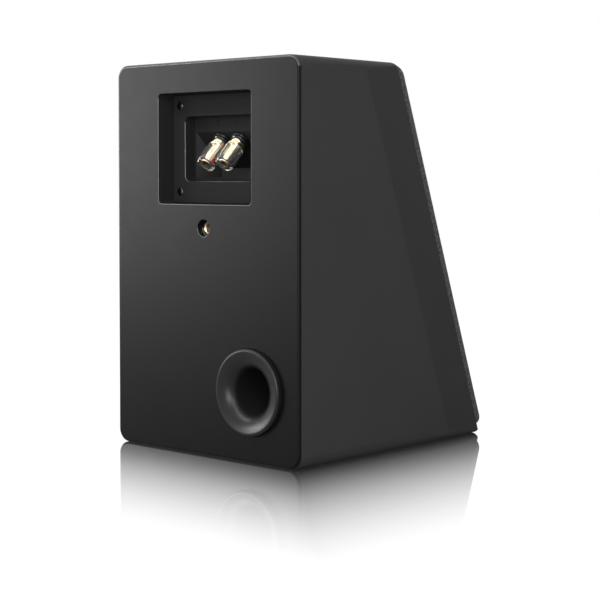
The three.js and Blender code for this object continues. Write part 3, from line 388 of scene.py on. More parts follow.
def mended(piece: Piece) -> Piece:
    """Joins the points that fell together, closes the slits and turns the faces outward."""
    focus(piece)
    bpy.ops.object.mode_set(mode="EDIT")
    bpy.ops.mesh.select_mode(type="VERT")
    bpy.ops.mesh.select_all(action="SELECT")
    bpy.ops.mesh.remove_doubles(threshold=SLIT)
    bpy.ops.mesh.dissolve_degenerate(threshold=SLIT)
    bpy.ops.mesh.select_all(action="SELECT")
    bpy.ops.mesh.fill_holes(sides=0)
    turn_outward()
    return piece


def eased(piece: Piece, width: float, steps: int = 2, angle: float = 40, polished: bool = False) -> Piece:
    """Takes the sharpness off every edge that turns more than an angle.

    Args:
        piece: The piece to work.
        width: How wide the eased edge is.
        steps: How many strips it has.
        angle: The angle in degrees.
        polished: Whether the eased edges take the piece's second material, where they don't face down.

    Returns:
        The same piece.
    """
    modified(
        mended(piece),
        "BEVEL",
        material=int(polished),
        width=width,
        segments=steps,
        limit_method="ANGLE",
        angle_limit=math.radians(angle),
        use_clamp_overlap=True,
    )
    return painted(piece, lambda _, normal: normal.z < LOOKS_DOWN)


def painted(piece: Piece, test: Callable[[Vector, Vector], bool], index: int = 0) -> Piece:
    """Gives the faces whose middle and normal pass a test one of the piece's materials."""
    for face in piece.data.polygons:
        if test(face.center, face.normal):
            face.material_index = index
    return piece


def smoothed(piece: Piece, angle: float = 30, even: bool = False) -> Piece:
    """Shades a piece smooth below an angle.

    Args:
        piece: The piece to shade.
        angle: Edges that turn more than this many degrees stay sharp.
        even: Whether large flat faces keep their own normal, with the bend in the small ones.

    Returns:
        The same piece.
    """
    focus(piece)
    bpy.ops.object.shade_smooth_by_angle(angle=math.radians(angle))
    if even:
        modified(piece, "WEIGHTED_NORMAL", mode="FACE_AREA", weight=100, keep_sharp=True)
    return piece


def copied(piece: Piece, name: str) -> Piece:
    """Copies a piece, with a mesh of its own."""
    twin = piece.copy()
    twin.data = piece.data.copy()
    twin.name = name
    twin.data.name = name
    bpy.context.scene.collection.objects.link(twin)
    return twin


# ---------------------------------------------------------------- places


def joint(name: str) -> dict:
    """Gives a joint of the record by its name."""
    return next(j for j in frame["record"]["behaviour"]["joints"] if j["name"] == name)


def axes(origin: Sequence[float], along_x: Vector, along_z: Vector) -> Matrix:
    """Builds a place whose local X and Z point along two directions at right angles."""
    along_y = along_z.cross(along_x)
    place = Matrix((along_x, along_y, along_z)).transposed().to_4x4()
    place.translation = Vector(origin)
    return place


SIDE = Vector((1, 0, 0))
BACK = Vector((0, 1, 0))
OUT = Vector(joint("grille_pull")["axis"]).normalized()  # straight out of the sloped baffle
UP_SLOPE = OUT.cross(SIDE)
SHELL_LOW, SHELL_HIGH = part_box("cabinet_shell")
BACK_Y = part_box("rear_panel")[1].y
WIDTH = SHELL_HIGH.x - SHELL_LOW.x
HEIGHT = SHELL_HIGH.z - SHELL_LOW.z
SLOPE_FOOT = Vector((0, SHELL_LOW.y, SHELL_LOW.z))
SLOPE_LENGTH = HEIGHT / UP_SLOPE.z
SLOPE = axes(SLOPE_FOOT, SIDE, OUT)  # local X is X, local Y runs up the slope, local Z out of it
INTO_BACK = axes((0, BACK_Y, 0), SIDE, -BACK)  # local X is X, local Y is Z, local Z is depth
PEGS = range(1, 5)  # the numbers of the grille's pegs and of the cups that hold them


def turned_by(angle: float) -> Matrix:
    """Gives a turn round Z, from its angle in degrees."""
    return Matrix.Rotation(math.radians(angle), 4, "Z")


def middle(node: str) -> Vector:
    """Gives the middle of a node's box."""
    low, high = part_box(node)
    return (low + high) / 2


def up_slope(point: Vector) -> float:
    """Gives how far up the slope a point is."""
    return (point - SLOPE_FOOT).dot(UP_SLOPE)


def on_slope(node: str) -> Matrix:
    """Gives the place on the baffle's face that a round node is centred on."""
    return axes(SLOPE_FOOT + UP_SLOPE * up_slope(middle(node)), SIDE, OUT)


def peg_place(index: int) -> Matrix:
    """Gives the place on the baffle's face of one of the grille's pegs."""
    node = f"grille_cup_{index}"
    return Matrix.Translation(SIDE * middle(node).x) @ on_slope(node)


def out_of_back(x: float, z: float) -> Matrix:
    """Gives a place on the back face whose local Z points out of it."""
    return axes((x, BACK_Y, z), SIDE, BACK)


# ---------------------------------------------------------------- node trees


class Slot(Enum):
    """The record's material slots."""

    VINYL = "cabinet_vinyl"
    BOARD = "raw_board"
    WADDING = "wadding"
    RUBBER = "rubber"
    TERMINAL = "terminal_plastic"
    SCREW = "black_screw"
    GOLD = "gold_plate"
    ZINC = "zinc_steel"
    CLEAR = "clear_sleeve"
    RED = "red_band"
    BLACK = "black_band"
    BRASS = "insert_brass"
    PORT = "port_plastic"
    BASKET = "basket_paint"
    SPIDER = "spider_cloth"
    CONE = "cone_paper"
    COPPER = "copper_wire"
    FERRITE = "ferrite"
    SILK = "dome_silk"
    GRILLE = "grille_plastic"
    CLOTH = "grille_cloth"
    CIRCUIT = "circuit_board"
    FILM = "film_can"
    CERAMIC = "resistor_ceramic"
    JACKET = "lead_jacket"


class Sheet:
    """A node tree, with short calls that add and join its nodes."""

    def __init__(self, tree: bpy.types.NodeTree) -> None:
        """Keeps the tree that the calls work on."""
        self.tree = tree

    def add(
        self, kind: str, inputs: dict[str | int, object] | None = None, **settings: object
    ) -> bpy.types.Node:
        """Adds a node.

        Args:
            kind: The node's type.
            inputs: Values or output sockets for its inputs, by name or number.
            **settings: The node's own settings.

        Returns:
            The new node.
        """
        node = self.tree.nodes.new(kind)
        for key, value in settings.items():
            setattr(node, key, value)
        for key, value in (inputs or {}).items():
            if isinstance(value, bpy.types.NodeSocket):
                self.tree.links.new(value, node.inputs[key])
            else:
                node.inputs[key].default_value = value
        return node

    def math(self, operation: str, *values: object) -> bpy.types.NodeSocket:
        """Adds a Math node and gives its result."""
        node = self.add("ShaderNodeMath", dict(enumerate(values)), operation=operation)
        return node.outputs[0]

    def vectors(self, operation: str, inputs: dict[str | int, object]) -> bpy.types.NodeSocket:
        """Adds a Vector Math node and gives its result."""
        return self.add("ShaderNodeVectorMath", inputs, operation=operation).outputs[0]

    def noise(self, vector: object, scale: object, detail: float, **inputs: float) -> bpy.types.Node:
        """Adds a noise texture."""
        inputs = {"Vector": vector, "Scale": scale, "Detail": detail, **inputs}
        return self.add("ShaderNodeTexNoise", inputs)

    def spread(self, value: object, low: float, high: float) -> bpy.types.NodeSocket:
        """Spreads a value from 0 to 1 over another range."""
        node = self.add("ShaderNodeMapRange", {0: value, 3: low, 4: high})
        return node.outputs[0]


def group(
    name: str, inputs: dict[str, object], values: Sequence[str], vectors: Sequence[str] = ()
) -> tuple[Sheet, bpy.types.NodeInputs]:
    """Starts a shader node group.

    Args:
        name: The group's name.
        inputs: Its inputs and their defaults, where None stands for a vector.
        values: The names of the outputs that are numbers.
        vectors: The names of those that are vectors.

    Returns:
        A sheet to work on the group, and the sockets that give its inputs.
    """
    tree = bpy.data.node_groups.new(name, "ShaderNodeTree")
    for label, default in inputs.items():
        kind = "NodeSocketVector" if default is None else "NodeSocketFloat"
        socket = tree.interface.new_socket(name=label, in_out="INPUT", socket_type=kind)
        if default is not None:
            socket.default_value = default
    for kind, labels in (("NodeSocketFloat", values), ("NodeSocketVector", vectors)):
        for label in labels:
            tree.interface.new_socket(name=label, in_out="OUTPUT", socket_type=kind)
    sheet = Sheet(tree)
    return sheet, sheet.add("NodeGroupInput").outputs


def blank_sheet(owner: bpy.types.Material | bpy.types.World) -> Sheet:
    """Empties the node tree of a material or a world, and gives a sheet to work on it."""
    owner.use_nodes = True
    owner.node_tree.nodes.clear()
    return Sheet(owner.node_tree)


def build_grain() -> bpy.types.NodeTree:
    """Builds the fine cast or pressed grain of a moulded or wrapped surface."""
    inputs = {"Vector": None, "Scale": 900.0, "Blotch Scale": 14.0}
    sheet, given = group("fine_grain", inputs, ["Height", "Blotch", "Wear"])
    vector, scale, blotch_scale = given["Vector"], given["Scale"], given["Blotch Scale"]
    pebble = sheet.add("ShaderNodeTexVoronoi", {"Vector": vector, "Scale": scale}, feature="SMOOTH_F1")
    grit = sheet.noise(vector, scale, 3.0, Roughness=0.6)
    blotch = sheet.noise(vector, blotch_scale, 4.0, Roughness=0.55)
    smear_scale = sheet.math("MULTIPLY", blotch_scale, 5.0)
    smear = sheet.noise(vector, smear_scale, 6.0, Roughness=0.7, Distortion=0.8)
    results = {
        "Height": sheet.math("MULTIPLY_ADD", grit.outputs[0], 0.6, pebble.outputs["Distance"]),
        "Blotch": blotch.outputs[0],
        "Wear": sheet.spread(smear.outputs[0], -0.35, 1.35),
    }
    sheet.add("NodeGroupOutput", results)
    return sheet.tree


def build_weave() -> bpy.types.NodeTree:
    """Builds a plain weave of crossing threads, with a random tone for each stitch."""
    inputs = {"Vector": None, "Threads": 1250.0, "Fuzz": 0.35}
    sheet, given = group("plain_weave", inputs, ["Height", "Tone"])
    scaled = sheet.vectors("SCALE", {0: given["Vector"], "Scale": given["Threads"]})
    wobble = sheet.noise(scaled, 0.35, 2.0)
    shifted = sheet.vectors("MULTIPLY_ADD", {0: wobble.outputs["Color"], 1: (0.5, 0.5, 0.5), 2: scaled})
    across, along, _ = sheet.add("ShaderNodeSeparateXYZ", {0: shifted}).outputs
    warp, weft = (
        sheet.math("ABSOLUTE", sheet.math("SINE", sheet.math("MULTIPLY", part, math.pi)))
        for part in (across, along)
    )
    column = sheet.math("FLOOR", across)
    row = sheet.math("FLOOR", along)
    over = sheet.math("PINGPONG", sheet.math("ADD", column, row), 1.0)
    under = sheet.math("SUBTRACT", 1.0, over)
    crossing = sheet.math("MULTIPLY_ADD", weft, under, sheet.math("MULTIPLY", warp, over))
    cell = sheet.add("ShaderNodeCombineXYZ", {0: column, 1: row})
    random = sheet.add("ShaderNodeTexWhiteNoise", {"Vector": cell.outputs[0]})
    fuzz = sheet.noise(scaled, 3.0, 3.0, Roughness=0.7)
    slub = sheet.noise(scaled, 0.55, 1.0)
    uneven = sheet.add("ShaderNodeMapRange", {0: slub.outputs[0], 1: 0.25, 2: 0.75})
    thread_tone = sheet.math("MULTIPLY", random.outputs["Value"], crossing)
    tone = sheet.math("MULTIPLY_ADD", thread_tone, 0.5, uneven.outputs[0])
    results = {
        "Height": sheet.math("MULTIPLY_ADD", fuzz.outputs[0], given["Fuzz"], crossing),
        "Tone": sheet.math("MULTIPLY", tone, 0.6),
    }
    sheet.add("NodeGroupOutput", results)
    return sheet.tree


def build_rings() -> bpy.types.NodeTree:
    """Builds the fine grooves that a lathe leaves, or the turns of a winding, round an axis."""
    inputs = {"Vector": None, "Axis": None, "Pitch": 2500.0, "Chatter": 60.0, "Groove": 0.0}
    sheet, given = group("turned_rings", inputs, ["Height", "Shade"], ["Normal"])
    x, y, z = sheet.add("ShaderNodeSeparateXYZ", {0: given["Vector"]}).outputs
    radius = sheet.math("SQRT", sheet.math("MULTIPLY_ADD", y, y, sheet.math("MULTIPLY", x, x)))
    phase = sheet.math("MULTIPLY", sheet.math("ADD", radius, z), given["Pitch"])
    chatter = sheet.noise(given["Vector"], given["Chatter"], 2.0)
    wave = sheet.math("SINE", sheet.math("MULTIPLY_ADD", chatter.outputs[0], 1.5, phase))
    slope = sheet.math("MULTIPLY", wave, given["Groove"])
    lean = sheet.vectors("SCALE", {0: given["Axis"], "Scale": slope})
    surface = sheet.add("ShaderNodeNewGeometry")
    leaning = sheet.vectors("ADD", {0: surface.outputs["Normal"], 1: lean})
    results = {
        "Height": sheet.math("MULTIPLY_ADD", wave, 0.5, 0.5),
        "Shade": chatter.outputs[0],
        "Normal": sheet.vectors("NORMALIZE", {0: leaning}),
    }
    sheet.add("NodeGroupOutput", results)
    return sheet.tree


@dataclass(frozen=True)
class Effects:
    """The shader node groups that several materials use."""

    grain: bpy.types.NodeTree
    weave: bpy.types.NodeTree
    rings: bpy.types.NodeTree


EFFECTS = Effects(build_grain(), build_weave(), build_rings())


class Pattern(Enum):
    """What covers a finish besides its colour."""

    GRAIN = "grain"
    WEAVE = "weave"
    RINGS = "rings"


@dataclass(frozen=True)
class Finish:
    """One finish: its colours, its gloss and the pattern on it."""

    slot: Slot
    colour: Colour
    roughness: float = 0.4
    metallic: float = 0.0
    specular: float = 0.5
    coat: float = 0.0
    transmission: float = 0.0
    ior: float = 1.5
    sheen: float = 0.0
    pattern: Pattern = Pattern.GRAIN
    scale: float = 900.0
    depth: float = 0.02 * MM
    spread: float = 0.12  # how far the colour goes each side of its middle
    gloss_spread: float = 0.08  # how far the roughness goes each side of its middle
    blotch: float = 14.0
    second: Colour | None = None  # the other colour of a mottled finish
    place: Matrix | None = field(default=None, compare=False)  # the axis that rings go round
    groove: float = 0.0  # how steep the grooves of a turned surface are
    by_uv: bool = False

    def vector(self, sheet: Sheet) -> bpy.types.NodeSocket:
        """Gives the coordinates that the pattern lies on."""
        source = sheet.add("ShaderNodeTexCoord")
        if self.by_uv:
            return source.outputs["UV"]
        if self.place is None:
            return source.outputs["Object"]
        back = self.place.inverted()
        turn = back.to_euler()
        moved = sheet.add(
            "ShaderNodeMapping",
            {"Vector": source.outputs["Object"], "Location": back.translation, "Rotation": turn},
            vector_type="POINT",
        )
        return moved.outputs[0]

    def material(self, name: str | None = None) -> bpy.types.Material:
        """Builds the material."""
        made = bpy.data.materials.new(name or self.slot.value)
        sheet = blank_sheet(made)
        cover, tone_name, gloss_name = self.cover(sheet)
        dark = tuple(channel * (1 - self.spread) for channel in self.colour)
        light = tuple(min(channel * (1 + self.spread), 1) for channel in (self.second or self.colour))
        ends = {0: cover[tone_name], 6: (*dark, 1), 7: (*light, 1)}
        colour = sheet.add("ShaderNodeMix", ends, data_type="RGBA")
        low = max(self.roughness - self.gloss_spread, 0.02)
        rough = sheet.spread(cover[gloss_name], low, min(self.roughness + self.gloss_spread, 1))
        relief = {"Strength": 1.0, "Distance": self.depth, "Height": cover["Height"]}
        if self.groove:
            relief["Normal"] = cover["Normal"]
        shader = sheet.add(
            "ShaderNodeBsdfPrincipled",
            {
                "Metallic": self.metallic,
                "Specular IOR Level": self.specular,
                "IOR": self.ior,
                "Coat Weight": self.coat,
                "Coat Roughness": 0.08,
                "Transmission Weight": self.transmission,
                "Sheen Weight": self.sheen,
                "Base Color": colour.outputs[2],
                "Roughness": rough,
                "Normal": sheet.add("ShaderNodeBump", relief).outputs[0],
            },
        )
        sheet.add("ShaderNodeOutputMaterial", {"Surface": shader.outputs[0]})
        return made

    def cover(self, sheet: Sheet) -> tuple[bpy.types.NodeOutputs, str, str]:
        """Adds the group that covers the finish.

        Args:
            sheet: The material's sheet.

        Returns:
            The group's outputs, and the names of those that set the colour and the gloss.
        """
        inputs = {"Vector": self.vector(sheet)}
        if self.pattern is Pattern.WEAVE:
            tree, tone, gloss = EFFECTS.weave, "Tone", "Tone"
            inputs |= {"Threads": self.scale}
        elif self.pattern is Pattern.RINGS:
            tree, tone, gloss = EFFECTS.rings, "Shade", "Shade"
            axis = self.place.to_3x3().col[2] if self.place else Vector((0, 0, 1))
            inputs |= {"Axis": axis, "Pitch": self.scale, "Groove": self.groove}
        else:
            tree, tone, gloss = EFFECTS.grain, "Blotch", "Wear"
            inputs |= {"Scale": self.scale, "Blotch Scale": self.blotch}
        return sheet.add("ShaderNodeGroup", inputs, node_tree=tree).outputs, tone, gloss


def grey(level: float) -> Colour:
    """Gives a neutral colour."""
    return (level, level, level)


FINISHES: dict[Slot, Finish] = {
    finish.slot: finish
    for finish in (
        Finish(Slot.VINYL, grey(0.040), 0.42, specular=0.03, scale=1400, depth=0.008 * MM, gloss_spread=0.03),
        Finish(Slot.BOARD, (0.30, 0.19, 0.10), 0.85, scale=700, depth=0.08 * MM, spread=0.3, blotch=90),
        Finish(Slot.WADDING, grey(0.62), 0.95, scale=260, depth=0.5 * MM, spread=0.18, sheen=0.3),
        Finish(Slot.RUBBER, grey(0.012), 0.55, specular=0.35, scale=1600, depth=0.01 * MM),
        Finish(Slot.TERMINAL, grey(0.018), 0.55, specular=0, scale=1800, depth=0.01 * MM, gloss_spread=0.04),
        Finish(Slot.SCREW, grey(0.06), 0.26, metallic=1, scale=1500, depth=0.01 * MM, spread=0.3),
        Finish(
            Slot.GOLD, (0.95, 0.80, 0.50), 0.13, metallic=1, scale=1200, depth=0.003 * MM, spread=0.04,
            gloss_spread=0.04,
        ),
        Finish(Slot.ZINC, grey(0.62), 0.35, metallic=1, scale=700, depth=0.01 * MM, spread=0.15),
        Finish(
            Slot.CLEAR, grey(0.92), 0.03, transmission=0.97, ior=1.42, scale=160, depth=0.004 * MM,
            spread=0.01, gloss_spread=0.01,
        ),
        Finish(Slot.RED, (0.62, 0.012, 0.010), 0.28, scale=1500, depth=0.004 * MM, spread=0.08),
        Finish(Slot.BLACK, grey(0.01), 0.28, scale=1500, depth=0.004 * MM),
        Finish(Slot.BRASS, (0.86, 0.70, 0.44), 0.30, metallic=1, scale=1500, depth=0.01 * MM, spread=0.10),
        Finish(Slot.PORT, grey(0.010), 0.31, specular=0.21, scale=1800, depth=0.004 * MM, gloss_spread=0.02),
        Finish(Slot.BASKET, grey(0.02), 0.5, scale=1100, depth=0.05 * MM),
        Finish(
            Slot.SPIDER, (0.42, 0.24, 0.07), 0.8, pattern=Pattern.WEAVE, scale=1400, depth=0.15 * MM,
            spread=0.3,
        ),
        Finish(
            Slot.CONE, grey(0.045), 0.62, specular=0.4, scale=420, depth=0.06 * MM, spread=0.3, blotch=60
        ),
        Finish(
            Slot.COPPER, (0.80, 0.36, 0.18), 0.3, metallic=1, pattern=Pattern.RINGS, scale=6000,
            depth=0.1 * MM,
        ),
        Finish(Slot.FERRITE, grey(0.045), 0.6, scale=900, depth=0.03 * MM, spread=0.2),
        Finish(
            Slot.SILK, grey(0.02), 0.42, specular=0.45, pattern=Pattern.WEAVE, scale=2600, depth=0.05 * MM,
            spread=0.3, sheen=0.15,
        ),
        Finish(Slot.GRILLE, grey(0.015), 0.55, scale=1200, depth=0.03 * MM),
        Finish(
            Slot.CLOTH, grey(0.03), 0.9, specular=0.1, pattern=Pattern.WEAVE, scale=900, depth=0.2 * MM,
            spread=0.3, second=grey(0.15), by_uv=True,
        ),
        Finish(
            Slot.CIRCUIT, (0.02, 0.13, 0.05), 0.35, coat=0.4, scale=500, depth=0.02 * MM, spread=0.2,
            blotch=120,
        ),
        Finish(Slot.FILM, (0.55, 0.38, 0.06), 0.3, coat=0.5, scale=600, depth=0.03 * MM),
        Finish(Slot.CERAMIC, (0.72, 0.70, 0.64), 0.75, scale=1000, depth=0.05 * MM),
        Finish(Slot.JACKET, (0.35, 0.02, 0.02), 0.45, scale=1300, depth=0.01 * MM, second=grey(0.01)),
    )
}


def variant(slot: Slot, name: str, **changes: object) -> bpy.types.Material:
    """Builds a material that differs from its slot's finish in a few values."""
    return replace(FINISHES[slot], **changes).material(name)


MATERIALS: dict[Slot, bpy.types.Material] = {slot: finish.material() for slot, finish in FINISHES.items()}
POLISH = {"roughness": 0.22, "specular": 0.6, "colour": grey(0.012), "depth": 0.002 * MM}
POLISHED = {slot: variant(slot, f"{slot.value}_edge", **POLISH) for slot in (Slot.VINYL, Slot.TERMINAL)}
# darker copy of the vinyl for the side facets: painted shade
SHADED_FACET = variant(Slot.VINYL, "facet_vinyl_painted_shade", colour=grey(0.034))
# lighter copy of the vinyl for the recess walls: painted light
LIT_RECESS = variant(Slot.VINYL, "recess_vinyl_painted_light", roughness=0.5, specular=0.05, colour=grey(0.02))
# lighter copy of the terminal plastic for the pocket: painted light
LIT_POCKET = variant(Slot.TERMINAL, "pocket_plastic_painted_light", colour=grey(0.05))
# glossier, far darker copy of the vinyl for the back face; the darker tone is painted shade
SHADED_PANEL = variant(Slot.VINYL, "panel_vinyl_painted_shade", roughness=0.36, specular=0.1, colour=grey(0.002))
GLOSSY = variant(Slot.TERMINAL, "collar_gloss", roughness=0.2, specular=0.5, colour=grey(0.006))
# dark brown copy of the gold for the inside of the plug socket: painted shade
SHADED_SOCKET = variant(Slot.GOLD, "gold_plate_socket_painted_shade", roughness=0.5, colour=(0.07, 0.048, 0.024))
# dark copy of the brass for the insert's threaded bore: painted shade
SHADED_BORE = variant(Slot.BRASS, "brass_bore_painted_shade", roughness=0.5, colour=(0.15, 0.10, 0.05))
# near-black copy of the board for the backing frame, which darkens the seam round the plate
DARKENED_FRAME = variant(Slot.BOARD, "raw_board_darkened", colour=grey(0.01), specular=0.2)


def clad(piece: Piece, *materials: bpy.types.Material) -> Piece:
    """Gives a piece its materials, the plain one first."""
    piece.data.materials.clear()
    for material in materials:
        piece.data.materials.append(material)
    return piece


def dress(piece: Piece, slot: Slot, node: str, material: bpy.types.Material | None = None) -> None:
    """Gives a piece, unless it has several materials already, its slot's material or the one given, and hides
    the node that it stands for.

    Args:
        piece: The finished piece.
        slot: The record's material slot.
        node: The node that it stands for.
        material: Another material of the same slot.
    """
    if len(piece.data.materials) < 2:
        clad(piece, material or MATERIALS[slot])
    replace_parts(piece, node)


def hand_over(
    piece: Piece, body: str, slot: Slot, node: str, material: bpy.types.Material | None = None
) -> None:
    dress(piece, slot, node, material)
    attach(piece, body)
    LOG.info("%s rides on %s, %d faces", piece.name, body, len(piece.data.polygons))


# ---------------------------------------------------------------- cabinet


@dataclass
class Cabinet:
    """The wrapped case, its baffle and the padding inside it."""

    wall: float = 15 * MM
    corner: float = 10 * MM
    cavity_corner: float = 3 * MM
    facet_depth: float = 40 * MM
    facet_inset: float = 3 * MM
    crease: float = 3.5 * MM
    rim: float = 7 * MM
    end_rim: float = 13 * MM
    pocket_corner: float = 6 * MM
    baffle: float = 20 * MM
    edge: float = 0.5 * MM
    baffle_edge: float = 0.3 * MM
    pad_grid: float = 3 * MM
    pad_lump: float = 20 * MM
    pad_swell: float = 1.6 * MM

    def build(self) -> None:
        """Builds the case, then what it holds."""
        self.build_case()
        self.build_baffle()
        self.build_padding()

    @property
    def front_half(self) -> float:
        """Half the width at the front edge."""
        return WIDTH / 2 - self.facet_inset

    def pocket_outline(self, clearance: float) -> list[Point]:
        """Gives the baffle's outline on the slope, smaller by a clearance."""
        across = 2 * (self.front_half - self.rim - clearance)
        along = SLOPE_LENGTH - 2 * (self.end_rim + clearance)
        return rounded_rect((0, SLOPE_LENGTH / 2), across, along, self.pocket_corner - clearance)

    def build_case(self) -> None:
        """Models the sloped case with its round back corners and its shallow front facets."""
        case = block("cabinet_case", SHELL_LOW, SHELL_HIGH)
        clad(case, MATERIALS[Slot.VINYL], POLISHED[Slot.VINYL])
        edge_rounded(case, runs_back, self.corner, 10)
        sliced(case, SLOPE_FOOT, OUT)
        for side in (1, -1):
            normal = (SIDE * side * self.facet_depth + OUT * self.facet_inset).normalized()
            sliced(case, SLOPE_FOOT - OUT * self.facet_depth + SIDE * side * WIDTH / 2, normal)
        edge_rounded(case, self.on_crease, self.crease, 3)
        half = WIDTH / 2 - self.wall
        low = (-half, 2 * SHELL_LOW.y, SHELL_LOW.z + self.wall)
        high = (half, 2 * SHELL_HIGH.y, SHELL_HIGH.z - self.wall)
        cavity = edge_rounded(block("cavity", low, high), runs_back, self.cavity_corner, 4)
        pocket = prism("pocket", self.pocket_outline(0), -self.baffle, self.wall, SLOPE)
        worked(case, Join.CUT, cavity, pocket)
        mended(eased(case, self.edge, 2, 50, polished=True))
        painted(case, lambda _, normal: normal.x < -0.3 and abs(normal.z) < 0.15)
        # The facets take a darker copy of the vinyl, which paints the shade that falls on them.
        case.data.materials.append(SHADED_FACET)
        lean = math.sin(math.atan2(self.facet_inset, self.facet_depth))
        painted(case, lambda _, normal: abs(normal.x) > 0.98 and abs(normal.dot(OUT) - lean) < 0.01, 2)
        hand_over(smoothed(case, even=True), "cabinet", Slot.VINYL, "cabinet_shell")

    def on_crease(self, points: list[Vector]) -> bool:
        """Says whether an edge lies where a facet starts."""
        off = [abs(abs(point.x) - WIDTH / 2) for point in points]
        off += [abs((point - SLOPE_FOOT).dot(OUT) + self.facet_depth) for point in points]
        return max(off) <= 0.2 * MM

    def build_baffle(self) -> None:
        """Models the baffle with its stepped driver cutouts and its peg holes."""
        board = prism("baffle_board", self.pocket_outline(GAP), -self.baffle + GAP, 0, SLOPE)
        woofer, tweeter, cup = Woofer(), Tweeter(), GrilleCup()
        seat, up = on_slope("woofer_trim_ring"), on_slope("tweeter_faceplate")
        through = -self.baffle - MM
        tools = [
            disc("cut", woofer.cutout, through, MM, seat),
            disc("cut", woofer.radius + GAP, -woofer.seat, MM, seat),
            disc("cut", tweeter.cutout, through, MM, up),
            disc("cut", tweeter.radius + GAP, -tweeter.flange - GAP, MM, up),
        ]
        for index in PEGS:
            tools.append(disc("cut", cup.radius + GAP, -cup.depth - GAP, MM, peg_place(index), 32))
        worked(board, Join.CUT, *tools)
        mended(eased(board, self.baffle_edge, 2, 50))
        hand_over(smoothed(board, even=True), "cabinet", Slot.VINYL, "front_baffle")

    def build_padding(self) -> None:
        """Models the wadding that lines the sides and the top."""
        for index, name in enumerate(("left", "right", "top")):
            node = f"damping_pad_{name}"
            pad = self.pad(f"wadding_{name}", node, 0.1 * (index + 1))
            hand_over(pad, "cabinet", Slot.WADDING, node)

    def pad(self, name: str, node: str, level: float) -> Piece:
        """Models one loose pad in the room of its node, with soft edges and an uneven face.

        Args:
            name: The pad's name.
            node: The node whose room it fills.
            level: The texture's value that leaves the face where it is.

        Returns:
            The pad.
        """
        pad = copied(bpy.data.objects[node], name)
        pad.parent = None
        focus(pad)
        bpy.ops.object.mode_set(mode="EDIT")
        bpy.ops.mesh.select_all(action="SELECT")
        bpy.ops.mesh.remove_doubles(threshold=MERGE)
        bpy.ops.object.mode_set(mode="OBJECT")
        modified(pad, "REMESH", mode="VOXEL", voxel_size=self.pad_grid)
        modified(pad, "SMOOTH", factor=0.6, iterations=6)
        lumps = bpy.data.textures.new(f"{name}_lumps", "CLOUDS")
        lumps.noise_scale = self.pad_lump
        swell = {"texture": lumps, "texture_coords": "LOCAL", "strength": -self.pad_swell, "mid_level": level}
        return smoothed(modified(pad, "DISPLACE", **swell), 60)


@dataclass
class BackPanel:
    """The back panel with its recess, its counterbored hole and the port's seat."""

    lip: float = 2.5 * MM
    edge_round: float = 1.8 * MM
    thickness: float = 15 * MM
    recess: Point = (97 * MM, 82 * MM)
    recess_corner: float = 3 * MM
    counterbore: float = 6.15 * MM
    insert_depth: float = 4.8 * MM
    insert_hole: float = 5.15 * MM
    port_seat: float = 31.8 * MM
    port_seat_depth: float = 1.5 * MM
    port_hole: float = 21.8 * MM
    ease: float = 0.7 * MM

    def build(self) -> None:
        """Models the panel: a round-edged face on a core that fits the case."""
        cabinet = Cabinet()
        low, high = (-WIDTH / 2, BACK_Y - self.lip, SHELL_LOW.z), (WIDTH / 2, BACK_Y, SHELL_HIGH.z)
        # The back face takes a far darker copy of the vinyl than the case: painted shade.
        face = clad(block("back_panel", low, high), SHADED_PANEL, POLISHED[Slot.VINYL])
        edge_rounded(face, runs_back, cabinet.corner, 10)
        edge_rounded(face, lies_on(BACK * BACK_Y, BACK), self.edge_round, 5, polished=True)
        margin = cabinet.wall + GAP
        low = (margin - WIDTH / 2, BACK_Y - self.thickness, SHELL_LOW.z + margin)
        high = (WIDTH / 2 - margin, BACK_Y - self.lip / 2, SHELL_HIGH.z - margin)
        core = edge_rounded(block("core", low, high), runs_back, cabinet.cavity_corner - GAP, 4)
        worked(face, Join.ADD, core)
        recess = middle("terminal_gasket")
        insert = middle("bracket_insert")
        port = middle("port_rear_flare")
        outline = rounded_rect((0, recess.z), *self.recess, self.recess_corner)
        through = self.thickness + MM
        at_insert = INTO_BACK @ Matrix.Translation((0, insert.z, 0))
        at_port = INTO_BACK @ Matrix.Translation((port.x, port.z, 0))
        worked(
            face,
            Join.CUT,
            prism("recess", outline, -MM, through, INTO_BACK),
            disc("bore", self.counterbore, -MM, self.insert_depth, at_insert, 64),
            disc("bore", self.insert_hole, -MM, through, at_insert, 64),
        )
        eased(face, self.ease, 3, 50, polished=True)
        worked(
            face,
            Join.CUT,
            disc("bore", self.port_seat, -MM, self.port_seat_depth, at_port),
            disc("bore", self.port_hole, -MM, through, at_port),
        )
        mended(face)
        near_edge = cabinet.corner / 2 - WIDTH / 2
        painted(face, lambda at, normal: at.x < near_edge and abs(normal.z) < 0.15)
        # The recess walls take a lighter copy of the vinyl than the back face: painted light.
        face.data.materials.append(LIT_RECESS)
        wide, tall = (side / 2 + self.ease for side in self.recess)
        deep = BACK_Y - self.ease
        painted(face, lambda at, _: abs(at.x) < wide and abs(at.z - recess.z) < tall and at.y < deep, 2)
        hand_over(smoothed(face, even=True), "cabinet", Slot.VINYL, "rear_panel")


# ---------------------------------------------------------------- terminal plate


